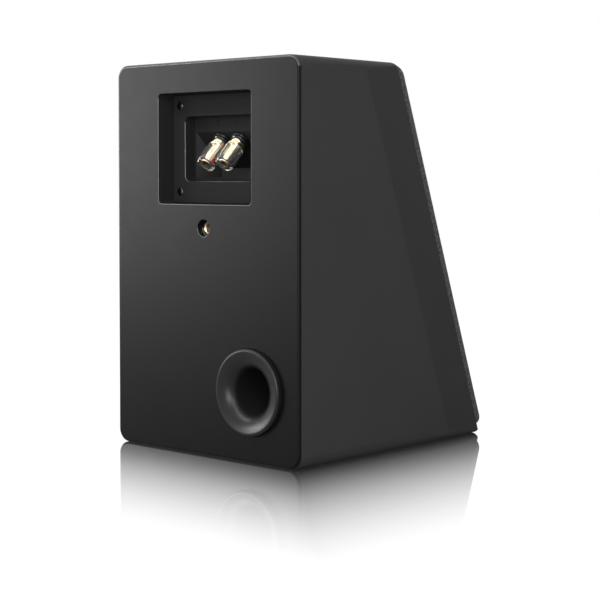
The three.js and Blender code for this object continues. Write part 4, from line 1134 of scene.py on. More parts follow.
@dataclass
class TerminalPlate:
    """The recessed plate with its cup, the pocket behind the posts, and four screws."""

    fit: float = 0.6 * MM
    seat: float = 15 * MM
    thickness: float = 3 * MM
    cup: Point = (70 * MM, 48.2 * MM)
    cup_corner: float = 4 * MM
    cup_depth: float = 10 * MM
    wall: float = 2.5 * MM
    pocket_half: float = 33 * MM
    pocket_depth: float = 27 * MM
    pocket_drop: float = 11.4 * MM
    pocket_foot: float = 2.6 * MM
    screw_inset: Point = (7.2 * MM, 8.5 * MM)
    screw_head: float = 3.2 * MM
    screw_shank: float = 1.4 * MM
    screw_length: float = 11 * MM
    screw_tip: float = 0.5 * MM
    screw_pitch: float = 1.1 * MM
    screw_thread: float = 0.3 * MM
    screw_sunk: float = 0.25 * MM
    screw_crown: float = 0.45 * MM
    screw_slot: Point = (1.55 * MM, 0.35 * MM)
    screw_slot_depth: float = 1.1 * MM
    screw_slot_round: float = 0.25 * MM
    stud_bore: float = 2.55 * MM
    edge_round: float = 0.8 * MM
    brim: float = 3 * MM
    mark: float = 3.8 * MM
    mark_drop: float = 4.5 * MM
    mark_stroke: float = 0.9 * MM
    mark_depth: float = 0.4 * MM

    def build(self) -> None:
        """Models the plate, then its screws."""
        self.centre = middle("terminal_gasket")
        self.floor = self.seat + self.cup_depth
        self.build_plate()
        self.build_screws()

    def cup_outline(self, margin: float) -> list[Point]:
        """Gives the cup's outline in the plate, larger by a margin."""
        width, height = (side + 2 * margin for side in self.cup)
        return rounded_rect((0, self.centre.z), width, height, self.cup_corner + margin)

    def pocket(self, margin: float) -> Piece:
        """Models the pocket's form, whose roof slopes down and in at 45 degrees."""
        top = self.centre.z + self.cup[1] / 2 - self.pocket_drop
        foot = self.centre.z - self.cup[1] / 2 + self.pocket_foot
        end = self.floor + self.pocket_depth
        rise = margin * math.sqrt(2)
        mouth = self.floor - MM
        profile = [
            (mouth, foot - margin),
            (mouth, top + rise + MM),
            (end + margin, top - self.pocket_depth + rise - margin),
            (end + margin, foot - margin),
        ]
        half = self.pocket_half + margin
        across = axes((0, BACK_Y, 0), -BACK, -SIDE)
        return prism("pocket", profile, -half, half, across)

    def screw_places(self) -> list[Point]:
        """Gives the four screws' places, x and z."""
        panel = BackPanel()
        x = panel.recess[0] / 2 - self.screw_inset[0]
        z = panel.recess[1] / 2 - self.screw_inset[1]
        return [(sx * x, self.centre.z + sz * z) for sz in (-1, 1) for sx in (-1, 1)]

    def build_plate(self) -> None:
        """Models the plate and the cup as one moulding."""
        panel = BackPanel()
        width, height = (side - 2 * self.fit for side in panel.recess)
        outline = rounded_rect((0, self.centre.z), width, height, panel.recess_corner - self.fit)
        plate = prism("terminal_moulding", outline, self.seat, self.seat + self.thickness, INTO_BACK)
        clad(plate, MATERIALS[Slot.TERMINAL], POLISHED[Slot.TERMINAL])
        outline = self.cup_outline(self.wall)
        outside = prism("outside", outline, self.seat + MM, self.floor + self.wall, INTO_BACK)
        worked(plate, Join.ADD, outside, self.pocket(self.wall))
        worked(plate, Join.CUT, self.hollow(), self.pocket(0))
        head, shank, end = self.screw_head + GAP, self.screw_shank + GAP, self.screw_length
        sink = [(0, -MM), (head, -MM), (head, 0), (shank, head - shank), (shank, end), (0, end)]
        for x, z in self.screw_places():
            place = INTO_BACK @ Matrix.Translation((x, z, self.seat))
            worked(plate, Join.CUT, turned("sink", sink, place, 40))
        for name in ("plus", "minus"):
            bore = disc("bore", self.stud_bore, -2 * self.wall, self.wall, Post(name).place, 40)
            worked(plate, Join.CUT, bore)
        worked(plate, Join.CUT, *self.marks())
        mended(plate)
        mouth = BACK_Y - self.seat - self.edge_round
        painted(plate, lambda at, normal: at.y > mouth and abs(normal.y) < 0.98 and normal.z > LOOKS_DOWN, 1)
        # The pocket's floor and walls, but not its sloped roof, take a lighter copy of the plastic: painted
        # light.
        plate.data.materials.append(LIT_POCKET)
        deep, half = BACK_Y - self.floor - MM, self.pocket_half + MM
        painted(plate, lambda at, normal: at.y < deep and normal.z > -0.3 and abs(at.x) < half, 2)
        hand_over(smoothed(plate, even=True), "cabinet", Slot.TERMINAL, "terminal_cup")

    def hollow(self) -> Piece:
        """Models the cup's hollow as a tool, flared where it meets the plate's face."""
        level = self.seat - 0.02 * MM
        tool = prism("hollow", self.cup_outline(0), self.seat - MM, self.floor, INTO_BACK)
        brim = prism("brim", self.cup_outline(self.brim), self.seat - 2 * MM, level, INTO_BACK)
        worked(tool, Join.ADD, brim)
        across, up = (side / 2 + NEAR for side in self.cup)

        def on_brim(points: list[Vector]) -> bool:
            """Says whether an edge runs where the hollow meets the brim."""
            inside = all(abs(point.x) <= across and abs(point.z - self.centre.z) <= up for point in points)
            return inside and all(abs(point.y - BACK_Y + level) <= NEAR for point in points)

        return edge_rounded(mended(tool), on_brim, self.edge_round, 4)

    def marks(self) -> list[Piece]:
        """Models the tools that sink the plus and minus signs into the cup's floor above the posts."""
        signs = []
        reach, thick = self.mark / 2, self.mark_stroke / 2
        bar = [(-reach, -thick), (reach, -thick), (reach, thick), (-reach, thick)]
        stem = [(b, a) for a, b in reversed(bar)]
        height = self.centre.z + self.cup[1] / 2 - self.mark_drop
        for name, strokes in (("plus", [bar, stem]), ("minus", [bar])):
            x = Post(name).place.translation.x
            place = INTO_BACK @ Matrix.Translation((x, height, self.floor))
            signs += [prism("sign", stroke, -GAP, self.mark_depth, place) for stroke in strokes]
        return signs

    def build_screws(self) -> None:
        """Models one countersunk cross-head screw and sets a copy in each hole."""
        head, shank = self.screw_head - 0.1 * MM, self.screw_shank
        low, top = -self.screw_length, -self.screw_sunk
        profile = [
            (0, low),
            (self.screw_tip, low),
            *thread(shank - self.screw_thread, shank, low + 0.6 * MM, -2 * MM, self.screw_pitch),
            (shank - 0.2 * MM, top - 2.3 * MM),
            (head, top - 0.55 * MM),
            (head, top - 0.3 * MM),
            *arc((0, top - 0.2 * MM), (head - 0.25 * MM, self.screw_crown), 0, 90, 6),
        ]
        screw = turned("plate_screw", profile, None, 40)
        x, y = self.screw_slot
        floor = top - self.screw_slot_depth
        for turn in (0, 90):
            slot = block("slot", (-x, -y, floor), (x, y, MM))
            edge_rounded(slot, lies_on(Vector((0, 0, floor)), Vector((0, 0, 1))), self.screw_slot_round, 2)
            worked(screw, Join.CUT, placed(slot, turned_by(turn)))
        smoothed(screw, 35)
        for index, (x, z) in enumerate(self.screw_places(), 1):
            place = out_of_back(x, z) @ Matrix.Translation((0, 0, -self.seat)) @ turned_by(23 + 37 * index)
            twin = placed(copied(screw, f"plate_screw_{index}"), place)
            hand_over(twin, "cabinet", Slot.SCREW, f"terminal_screw_{index}")
        bpy.data.objects.remove(screw)


# ---------------------------------------------------------------- binding posts


@dataclass
class Post:
    """One five-way binding post on the pocket's sloped roof."""

    name: str
    stud: float = 2.25 * MM
    stud_inside: float = 13 * MM
    stud_outside: float = 14 * MM
    collar: float = 7.2 * MM
    collar_height: float = 4.6 * MM
    collar_step: float = 0.7 * MM
    low_ridge: float = 1.7 * MM  # the height of its top
    high_ridge: Point = (2.3 * MM, 3.7 * MM)  # the heights of its foot and its top
    flange: float = 6 * MM
    flange_height: float = 2 * MM
    washer_height: float = 1.2 * MM
    knob_length: float = 17.5 * MM
    foot: float = 7 * MM
    foot_height: float = 1.6 * MM
    core: float = 4.3 * MM
    socket: float = 2 * MM
    sleeve: float = 7.35 * MM
    sleeve_bore: float = 5.4 * MM
    band: float = 0.5 * MM
    band_height: float = 2.5 * MM
    band_from_end: float = 2.4 * MM
    band_highlight_gap: float = 73.8  # degrees of the open front, where the bright core stands in for a highlight
    band_highlight_facing: float = 234.0  # degrees; where the open front faces, towards the viewer
    pitch: float = 1 * MM
    thread_depth: float = 0.45 * MM

    def __post_init__(self) -> None:
        """Works out where each part of the stack starts."""
        turn = joint(f"knob_{self.name}_turn")
        self.place = axes(turn["pos_m"], SIDE, Vector(turn["axis"]).normalized())
        self.bore = self.stud + GAP
        self.flange_low = self.collar_height + 2 * GAP
        self.washer_low = self.flange_low + self.flange_height + GAP
        self.knob_low = self.washer_low + self.washer_height + GAP
        self.knob_high = self.knob_low + self.knob_length
        self.foot_high = self.knob_low + self.foot_height

    def build(self) -> None:
        """Models the post from the collar outwards."""
        gold = self.gold()
        self.build_collar()
        self.build_stud(gold)
        self.build_washer(gold)
        self.build_core(gold)
        self.build_sleeve()
        self.build_band()

    def gold(self) -> bpy.types.Material:
        """Gives the gold plate, with its polishing rings round this post's axis."""
        rings = {"pattern": Pattern.RINGS, "scale": 30000, "depth": 0.0002 * MM, "groove": 0.36}
        look = {"colour": (0.93, 0.81, 0.58), "roughness": 0.24, "spread": 0.03}
        return variant(Slot.GOLD, f"gold_plate_{self.name}", place=self.place, **look, **rings)

    def build_collar(self) -> None:
        """Models the black collar, with two ridges round it."""
        ease, low_ease = 0.45 * MM, 0.2 * MM
        low, high = GAP, GAP + self.collar_height
        step, ridge = self.collar - self.collar_step, self.collar - 0.2 * MM
        shelf = low + self.low_ridge
        foot, crown = (low + height for height in self.high_ridge)
        corners = [
            (self.bore, low, 0),
            (self.collar, low, low_ease),
            (self.collar, shelf, ease),
            (step, shelf, low_ease),
            (step, foot, low_ease),
            (ridge, foot, ease),
            (ridge, crown, ease),
            (step - 0.4 * MM, high, ease),
            (self.bore, high, low_ease),
        ]
        piece = turned(f"collar_{self.name}", filleted(corners), self.place, 64)
        hand_over(smoothed(piece, 40), "cabinet", Slot.TERMINAL, f"post_collar_{self.name}", GLOSSY)

    def build_stud(self, gold: bpy.types.Material) -> None:
        """Models the threaded stud with its round flange."""
        ease = 0.35 * MM
        low, high = self.flange_low, self.flange_low + self.flange_height
        bottom, top = -self.stud_inside, self.stud_outside
        root = self.stud - self.thread_depth
        corners = [
            (0, bottom, 0),
            (self.stud - 0.5 * MM, bottom, 0),
            *sharp(thread(self.stud, root, bottom + 0.8 * MM, 0, self.pitch)),
            (self.stud, 0, 0),
            (self.stud, low, 0),
            (self.flange, low, ease),
            (self.flange, high, ease),
            (self.stud, high, 0),
            *sharp(thread(self.stud, root, high + 0.6 * MM, top - 0.5 * MM, self.pitch)),
            (self.stud - 0.4 * MM, top, 0),
            (0, top, 0),
        ]
        piece = turned(f"stud_{self.name}", filleted(corners), self.place, 64)
        hand_over(smoothed(piece, 40), "cabinet", Slot.GOLD, f"post_stud_{self.name}", gold)

    def build_washer(self, gold: bpy.types.Material) -> None:
        """Models the loose washer that the knob presses on."""
        ease, bore_ease = 0.3 * MM, 0.1 * MM
        low, high = self.washer_low, self.washer_low + self.washer_height
        corners = [
            (self.bore, low, bore_ease),
            (self.flange, low, ease),
            (self.flange, high, ease),
            (self.bore, high, bore_ease),
        ]
        body = f"washer_{self.name}"
        piece = turned(body, filleted(corners), self.place, 64)
        hand_over(smoothed(piece, 40), body, Slot.GOLD, f"post_washer_{self.name}", gold)

    def build_core(self, gold: bpy.types.Material) -> None:
        """Models the knob's metal: a wide foot, the core and the plug socket in its end."""
        ease = 0.35 * MM
        top = self.knob_high
        floor = self.stud_outside + GAP
        corners = [
            (self.bore, self.knob_low, 0.2 * MM),
            (self.foot, self.knob_low, ease),
            (self.foot, self.foot_high, ease),
            (self.core, self.foot_high, 0.3 * MM),
            (self.core, top, 0.4 * MM),
            (self.socket + 0.2 * MM, top, 0),
            (self.socket, top - 0.3 * MM, 0),
            (self.socket, floor, 0),
            (self.bore, floor, 0),
        ]
        # The plug socket's inside takes a dark brown copy of the gold: painted shade.
        piece = clad(turned(f"knob_core_{self.name}", filleted(corners), None, 96), gold, SHADED_SOCKET)
        reach = self.socket + 0.1 * MM
        painted(piece, lambda at, _: math.hypot(at.x, at.y) < reach, 1)
        placed(piece, self.place)
        hand_over(smoothed(piece, 40), f"knob_{self.name}", Slot.GOLD, f"post_core_{self.name}")

    def build_sleeve(self) -> None:
        """Models the clear sleeve, thick-walled with softly rounded ends."""
        low, high = self.foot_high + GAP, self.knob_high + GAP
        ease = 0.7 * MM
        corners = [
            (self.sleeve_bore, low, 0.2 * MM),
            (self.sleeve, low, ease),
            (self.sleeve, high, ease),
            (self.sleeve_bore, high, 0.4 * MM),
        ]
        piece = turned(f"knob_sleeve_{self.name}", filleted(corners, 5), self.place, 96)
        hand_over(smoothed(piece, 40), f"knob_{self.name}", Slot.CLEAR, f"post_sleeve_{self.name}")

    def build_band(self) -> None:
        """Models the ring whose colour tells the two posts apart, cut open on its front so that the bright
        core shows there in place of the band's highlight: a painted highlight.
        """
        inner = self.core + GAP
        outer = inner + self.band
        start = self.band_highlight_facing + self.band_highlight_gap / 2
        end = self.band_highlight_facing - self.band_highlight_gap / 2 + 360
        outline = arc((0, 0), (outer, outer), start, end, 48) + arc((0, 0), (inner, inner), end, start, 48)
        high = self.knob_high - self.band_from_end
        ring = prism(f"knob_band_{self.name}", outline, high - self.band_height, high, self.place)
        eased(ring, 0.1 * MM, 2, 50)
        slot = Slot.RED if self.name == "plus" else Slot.BLACK
        hand_over(smoothed(ring, 35), f"knob_{self.name}", slot, f"post_band_{self.name}")


# ---------------------------------------------------------------- insert and port


@dataclass
class Insert:
    """The threaded brass insert for a wall bracket."""

    radius: float = 4.85 * MM
    bore: float = 3.18 * MM
    depth: float = 4.8 * MM
    length: float = 10 * MM
    pitch: float = 1.27 * MM
    thread_depth: float = 0.55 * MM
    chamfer: float = 0.3 * MM
    lead_in: float = 0.7 * MM

    def build(self) -> None:
        """Models the insert: a chamfered ring with a thread inside."""
        at = middle("bracket_insert")
        top, bottom = -self.depth - GAP / 2, -self.depth - self.length
        root = self.bore + self.thread_depth
        turns = thread(self.bore, root, bottom + 0.6 * MM, top - 0.8 * MM, self.pitch)
        profile = [
            (self.bore + 0.4 * MM, bottom),
            (self.radius, bottom),
            (self.radius, top - self.chamfer),
            (self.radius - self.chamfer, top),
            (self.bore + self.lead_in, top),
            (self.bore, top - self.lead_in),
            *reversed(turns),
        ]
        # The bore's thread takes a dark copy of the brass: painted shade.
        piece = clad(turned("bracket_insert_ring", profile, None, 64), MATERIALS[Slot.BRASS], SHADED_BORE)
        reach, mouth = self.bore + 0.6 * MM, top - 0.75 * MM
        painted(piece, lambda at, _: math.hypot(at.x, at.y) < reach and at.z < mouth, 1)
        placed(piece, out_of_back(at.x, at.z))
        hand_over(smoothed(piece, 25), "cabinet", Slot.BRASS, "bracket_insert")


@dataclass
class Port:
    """The flared port on the back and the tube behind it."""

    throat: float = 17 * MM
    wall: float = 2.2 * MM
    length: float = 92 * MM
    lip: float = 31.5 * MM
    proud: float = 4 * MM
    sunk: float = 1.5 * MM
    lip_round: float = 2 * MM
    lip_chamfer: float = 0.3 * MM
    crest_lean: float = 9.0  # degrees, where the rim's round meets the funnel
    funnel_start: float = 15.0  # degrees along the funnel's ellipse
    socket_start: float = 14 * MM
    socket_end: float = 30 * MM
    inner_flare: float = 27 * MM
    inner_depth: float = 12 * MM

    def build(self) -> None:
        """Models the flare and the tube."""
        at = middle("port_rear_flare")
        place = out_of_back(at.x, at.z)
        socket = self.throat + self.wall + GAP
        seat = -self.sunk + GAP
        crest = (self.lip - self.lip_round, self.proud - self.lip_round)
        rim = arc(crest, (self.lip_round, self.lip_round), 0, 90 + self.crest_lean, 10)
        start = math.radians(self.funnel_start)
        wide = (rim[-1][0] - self.throat) / (1 - math.sin(start))
        deep = wide * math.tan(math.radians(self.crest_lean)) / math.tan(start)
        funnel = (self.throat + wide, rim[-1][1] - deep * math.cos(start))
        profile = [
            *rim,
            *arc(funnel, (wide, deep), 90 + self.funnel_start, 180, 24)[1:],
            (self.throat, -self.socket_start),
            (socket, -self.socket_start),
            (socket, -self.socket_end),
            (socket + self.wall, -self.socket_end),
            (socket + self.wall, seat),
            (self.lip - self.lip_chamfer, seat),
            (self.lip, seat + self.lip_chamfer),
        ]
        flare = turned("port_flare", profile, place, 128)
        hand_over(smoothed(flare, 40), "cabinet", Slot.PORT, "port_rear_flare")
        bend = (self.inner_flare, -self.length + self.inner_depth)
        width = self.inner_flare - self.throat
        inner = arc(bend, (width, self.inner_depth), 180, 270, 12)
        outer = arc(bend, (width - self.wall, self.inner_depth - self.wall), 270, 180, 12)
        top = -self.socket_start - GAP
        profile = [(self.throat, top), *inner, *outer, (self.throat + self.wall, top)]
        tube = turned("port_tube_moulding", profile, place, ROUND)
        hand_over(smoothed(tube, 40), "cabinet", Slot.PORT, "port_tube")


# ---------------------------------------------------------------- drivers


@dataclass
class Woofer:
    """The woofer's moving parts and what holds them to the baffle."""

    radius: float = 67.5 * MM
    cutout: float = 59 * MM
    seat: float = 6 * MM
    flange: float = 2.2 * MM
    cone: float = 49 * MM
    cone_depth: float = 18 * MM
    cone_thickness: float = 1.2 * MM
    cone_bow: float = 1.2 * MM
    ribs: int = 12
    rib_height: float = 0.22 * MM
    cone_sunk: float = 5.7 * MM
    coil: float = 13.1 * MM
    cap_overlap: float = 4 * MM
    cap_height: float = 7 * MM
    surround: float = 0.9 * MM
    land: float = 2.5 * MM
    glue: float = 3 * MM
    spider: float = 0.8 * MM
    waves: int = 5
    wave_height: float = 2.2 * MM
    basket_depth: float = 48 * MM
    ledge: float = 10 * MM
    foot: float = 40 * MM
    ledge_width: float = 8 * MM
    ledge_flare: float = 4 * MM
    basket_wall: float = 2 * MM
    trim_chamfer: float = 0.8 * MM
    trim_proud: float = 0.2 * MM

    def build(self) -> None:
        """Models the trim ring, the surround, the cone, the cap and the spider."""
        self.place = on_slope("woofer_trim_ring")
        self.build_trim()
        self.build_surround()
        self.build_cone()
        self.build_spider()

    def build_trim(self) -> None:
        """Models the rubber trim ring that covers the flange and its screws."""
        low = -self.seat + self.flange + self.surround + 3 * GAP
        inner = self.cutout + MM
        corners = [
            (inner, low, 0),
            (self.radius, low, 0),
            (self.radius, self.trim_proud, self.trim_chamfer),
            (inner, self.trim_proud, self.trim_chamfer),
        ]
        ring = turned("woofer_trim", filleted(corners, 6), self.place, 128)
        hand_over(smoothed(ring, 40), "cabinet", Slot.RUBBER, "woofer_trim_ring")

    def build_surround(self) -> None:
        """Models the half-roll surround, which bends between the basket and the cone."""
        outer_low = -self.seat + self.flange + 2 * GAP
        outer_high = outer_low + self.surround
        inner_low = -self.cone_sunk + GAP
        inside = self.cone + MM
        middle_radius = (inside + self.cutout) / 2
        roll = (self.cutout - inside) / 2
        under = roll - self.surround
        rim = self.radius - self.glue
        profile = [
            (rim, outer_low),
            (rim, outer_high),
            *arc((middle_radius, outer_high), (roll, roll), 0, 180, 20),
            (self.cone - self.land, inner_low + self.surround),
            (self.cone - self.land, inner_low),
            (inside + self.surround, inner_low),
            *arc((middle_radius, outer_low), (under, under), 180, 0, 20),
        ]
        piece = turned("surround_roll", profile, self.place, 128)
        self.bend(smoothed(piece, 50), "woofer_surround", Slot.RUBBER, inside, self.cutout)

    def bend(self, piece: Piece, node: str, slot: Slot, inner: float, outer: float) -> None:
        """Lets a ring bend between the basket outside and the cone inside.

        Args:
            piece: The ring.
            node: The node that it stands for.
            slot: Its material slot.
            inner: The radius inside which it moves with the cone.
            outer: The radius outside which it stays with the basket.
        """
        dress(piece, slot, node)
        origin = self.place.translation
        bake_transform(piece, "cabinet", "woofer_diaphragm", start=origin, end=origin + OUT * MM)
        weights = piece.data.attributes["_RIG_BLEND"].data
        back = self.place.inverted()
        for point, weight in zip(piece.data.vertices, weights):
            local = back @ point.co
            share = min(max((outer - math.hypot(local.x, local.y)) / (outer - inner), 0), 1)
            weight.value = share * share * (3 - 2 * share)
        LOG.info("%s bends from the cabinet to the cone", piece.name)

    def build_cone(self) -> None:
        """Models the bowed paper cone, with pressed ribs, and the cap over the coil."""
        neck = self.coil + GAP
        edge = -self.cone_sunk
        bottom = edge - self.cone_depth
        steps = 28
        face = []
        for step in range(steps + 1):
            share = step / steps
            radius = neck + (self.cone - neck) * share
            bow = self.cone_bow * 4 * share * (1 - share)
            rib = self.rib_height * math.sin(share * math.pi * self.ribs) ** 8
            face.append((radius, bottom + self.cone_depth * share - bow + rib))
        back = [(radius, height - self.cone_thickness) for radius, height in reversed(face)]
        cone = turned("paper_cone", [*face, *back], self.place, ROUND)
        hand_over(smoothed(cone, 40), "woofer_diaphragm", Slot.CONE, "woofer_cone")
        cap_radius = neck + self.cap_overlap
        foot = bottom + self.cap_overlap * self.cone_depth / (self.cone - neck) + GAP
        thick = self.cone_thickness
        outer = arc((0, foot), (cap_radius, self.cap_height), 0, 90, 14)
        inner = arc((0, foot), (cap_radius - thick, self.cap_height - thick), 90, 0, 14)
        cap = turned("dust_cap_dome", [*outer, *inner], self.place, 64)
        hand_over(smoothed(cap, 50), "woofer_diaphragm", Slot.CONE, "woofer_dust_cap")

    def build_spider(self) -> None:
        """Models the corrugated cloth spider."""
        level = -self.basket_depth + self.ledge + GAP
        inner = self.coil + GAP
        flat = self.foot + self.ledge_flare - self.ledge_width
        outer = self.foot + self.ledge_flare - self.basket_wall - 2 * GAP
        steps = 10 * self.waves

        def wave(height: float) -> list[Point]:
            """Gives the corrugated line at a height."""
            line = []
            for step in range(steps + 1):
                share = step / steps
                lift = self.wave_height / 2 * (1 - math.cos(2 * math.pi * self.waves * share))
                line.append((inner + (flat - inner) * share, level + height + lift))
            return line

        profile = [*wave(0), (outer, level), (outer, level + self.spider), *reversed(wave(self.spider))]
        piece = turned("spider_corrugated", profile, self.place, 64)
        self.bend(smoothed(piece, 60), "woofer_spider", Slot.SPIDER, inner, flat)


@dataclass
class Tweeter:
    """The tweeter's faceplate with its short horn, and its dome."""

    radius: float = 52 * MM
    cutout: float = 38 * MM
    flange: float = 3.7 * MM
    depth: float = 12.4 * MM
    horn_depth: float = 10.5 * MM
    horn_rim: float = 8 * MM
    horn_throat: float = 16 * MM
    horn_land: float = 2.5 * MM
    clamp: float = 4 * MM
    rim_round: float = 0.8 * MM
    screw_hole: Point = (2.4 * MM, 1.6 * MM)
    screw_hole_taper: float = 0.6 * MM
    dome: float = 12.7 * MM
    dome_height: float = 5 * MM
    dome_thickness: float = 0.6 * MM
    dome_lip: float = 2.5 * MM
    roll: float = 0.9 * MM

    def build(self) -> None:
        """Models the faceplate and the dome."""
        self.place = on_slope("tweeter_faceplate")
        self.build_faceplate()
        self.build_dome()

    def build_faceplate(self) -> None:
        """Models the faceplate: a flat rim that curves into the horn."""
        bottom = -self.depth + GAP
        mouth = self.radius - self.horn_rim
        curve = self.horn_depth - self.horn_land
        body = self.cutout - MM
        clamp = self.horn_throat + self.clamp
        ease = self.rim_round
        profile = [
            (clamp, bottom),
            (body, bottom),
            (body, -self.flange),
            (self.radius, -self.flange),
            *arc((self.radius - ease, -ease), (ease, ease), 0, 90, 5),
            *arc((mouth, -curve), (mouth - self.horn_throat, curve), 90, 180, 24),
            (self.horn_throat, -self.horn_depth),
            (clamp, -self.horn_depth),
        ]
        plate = turned("tweeter_horn", profile, self.place, 128)
        hole = self.sunk_hole()
        rim = Matrix.Translation((self.radius - self.horn_rim / 2, 0, 0))
        for angle in range(45, 360, 90):
            worked(plate, Join.CUT, placed(copied(hole, "hole"), self.place @ turned_by(angle) @ rim))
        bpy.data.objects.remove(hole)
        hand_over(smoothed(plate, 40), "cabinet", Slot.PORT, "tweeter_faceplate")

    def sunk_hole(self) -> Piece:
        """Models the recess of a sunk screw's head, as a cutting tool."""
        rim, depth = self.screw_hole
        top = 0.2 * MM
        profile = [(0, -depth), (rim - self.screw_hole_taper, -depth), (rim, top), (0, top)]
        return turned("hole", profile, None, 32)

    def build_dome(self) -> None:
        """Models the silk dome with its small roll."""
        edge = -self.horn_depth - 0.5 * MM
        foot = edge - self.dome_thickness
        lip = self.horn_throat + self.dome_lip
        outer = self.horn_throat - 0.5 * MM
        centre = (self.dome + outer) / 2
        over = arc((0, edge), (self.dome, self.dome_height), 0, 90, 14)
        under = arc((0, foot), (self.dome - self.dome_thickness, self.dome_height), 90, 0, 14)
        profile = [
            (lip, foot),
            (lip, edge),
            *arc((centre, edge), ((outer - self.dome) / 2, self.roll), 0, 180, 8),
            *over[1:],
            *under,
        ]
        piece = turned("silk_dome", profile, self.place, 64)
        hand_over(smoothed(piece, 50), "tweeter_diaphragm", Slot.SILK, "tweeter_dome")


# ---------------------------------------------------------------- grille


@dataclass
class GrilleCup:
    """One rubber cup that grips a peg of the grille."""

    radius: float = 5 * MM
    peg: float = 3 * MM
    peg_length: float = 9.2 * MM
    depth: float = 10.4 * MM

    def build(self) -> None:
        """Models one cup and sets a copy at each peg."""
        bore, ease = self.peg + GAP, 0.4 * MM
        mouth, floor = -GAP / 2, -self.peg_length - GAP
        corners = [
            (0, -self.depth, 0),
            (self.radius, -self.depth, ease),
            (self.radius, mouth, ease),
            (bore, mouth, ease),
            (bore, floor, 0),
            (0, floor, 0),
        ]
        cup = smoothed(turned("peg_cup", filleted(corners), None, 40), 40)
        for index in PEGS:
            twin = placed(copied(cup, f"peg_cup_{index}"), peg_place(index))
            hand_over(twin, "cabinet", Slot.RUBBER, f"grille_cup_{index}")
        bpy.data.objects.remove(cup)


@dataclass
class Grille:
    """The pull-off grille: a moulded frame on four pegs, with cloth stretched over it."""

    inset: float = 1.2 * MM
    end_inset: float = 3.6 * MM
    thickness: float = 7.1 * MM
    standoff: float = 0.4 * MM
    corner: float = 9 * MM
    cloth: float = 0.8 * MM
    bar: float = 16 * MM
    crossbar: float = 11 * MM
    bar_edge: float = 0.5 * MM
    edge_round: float = 0.9 * MM
    slack: float = 0.1 * MM

    def size(self, inset: float) -> Point:
        """Gives the grille's width and length on the slope, smaller by an inset all round."""
        half = Cabinet().front_half - self.inset - inset
        return 2 * half, SLOPE_LENGTH - 2 * (self.end_inset + inset)

    def outline(self, inset: float) -> list[Point]:
        """Gives the grille's outline on the slope, smaller by an inset all round."""
        return rounded_rect((0, SLOPE_LENGTH / 2), *self.size(inset), self.corner - inset, 10)

    def build(self) -> None:
        """Models the frame, then the cloth."""
        self.low = self.standoff
        self.high = self.low + self.thickness
        self.build_frame()
        self.build_cloth()

    def build_frame(self) -> None:
        """Models the frame's bars and its pegs."""
        inset = self.cloth + GAP
        low, high = self.low + GAP, self.high - inset
        board = prism("grille_bars", self.outline(inset), low, high, SLOPE)
        across, _ = self.size(inset + self.bar)
        bottom = self.end_inset + inset + self.bar
        woofer_top = up_slope(on_slope("woofer_trim_ring").translation) + Woofer().radius
        tweeter_low = up_slope(on_slope("tweeter_faceplate").translation) - Tweeter().radius
        between = (woofer_top + tweeter_low) / 2
        spans = (bottom, between - self.crossbar / 2), (between + self.crossbar / 2, SLOPE_LENGTH - bottom)
        for start, end in spans:
            window = rounded_rect((0, (start + end) / 2), across, end - start, self.corner)
            worked(board, Join.CUT, prism("window", window, low - MM, high + MM, SLOPE))
        eased(board, self.bar_edge, 2, 50)
        peg, tip, root = GrilleCup().peg, -GrilleCup().peg_length, low + MM
        corners = [
            (0, tip + GAP, 0),
            (peg - 0.3 * MM, tip + GAP, 0.8 * MM),
            (peg, tip / 2, 0),
            (peg, root, 0),
            (0, root, 0),
        ]
        for index in PEGS:
            worked(board, Join.ADD, turned("peg", filleted(corners), peg_place(index), 40))
        hand_over(smoothed(board, even=True), "grille", Slot.GRILLE, "grille_frame")

    def build_cloth(self) -> None:
        """Models the cloth, which covers the face and wraps the frame's edges."""
        cloth = prism("grille_fabric", self.outline(0), self.low, self.high, SLOPE)
        edge_rounded(cloth, lies_on(SLOPE_FOOT + OUT * self.high, OUT), self.edge_round, 5)
        pick(cloth, Pick.FACES, lies_on(SLOPE_FOOT + OUT * self.low, OUT))
        bpy.ops.mesh.delete(type="FACE")
        bpy.ops.object.mode_set(mode="OBJECT")
        self.lay_threads(cloth)
        modified(cloth, "SOLIDIFY", thickness=self.cloth - self.slack, offset=-1)
        hand_over(smoothed(cloth, 35, even=True), "grille", Slot.CLOTH, "grille_cloth")
        low, high = self.size(0)

    def lay_threads(self, cloth: Piece) -> None:
        """Lays the cloth's own map of the threads, in metres, on over the folded edges."""
        back = SLOPE.inverted()
        while cloth.data.uv_layers:
            cloth.data.uv_layers.remove(cloth.data.uv_layers[0])
        layer = cloth.data.uv_layers.new(name="threads")
        half_width = self.size(0)[0] / 2
        for face in cloth.data.polygons:
            normal = back.to_3x3() @ face.normal
            for loop in face.loop_indices:
                point = back @ cloth.data.vertices[cloth.data.loops[loop].vertex_index].co
                fold = self.high - point.z
                u, v = point.x, point.y
                if abs(normal.x) >= abs(normal.y) and abs(normal.x) > 0.5:
                    u = math.copysign(half_width + fold, point.x)
                elif abs(normal.y) > 0.5:
                    v = point.y + math.copysign(fold, normal.y)
                layer.data[loop].uv = (u, v)


# ---------------------------------------------------------------- carried-over nodes


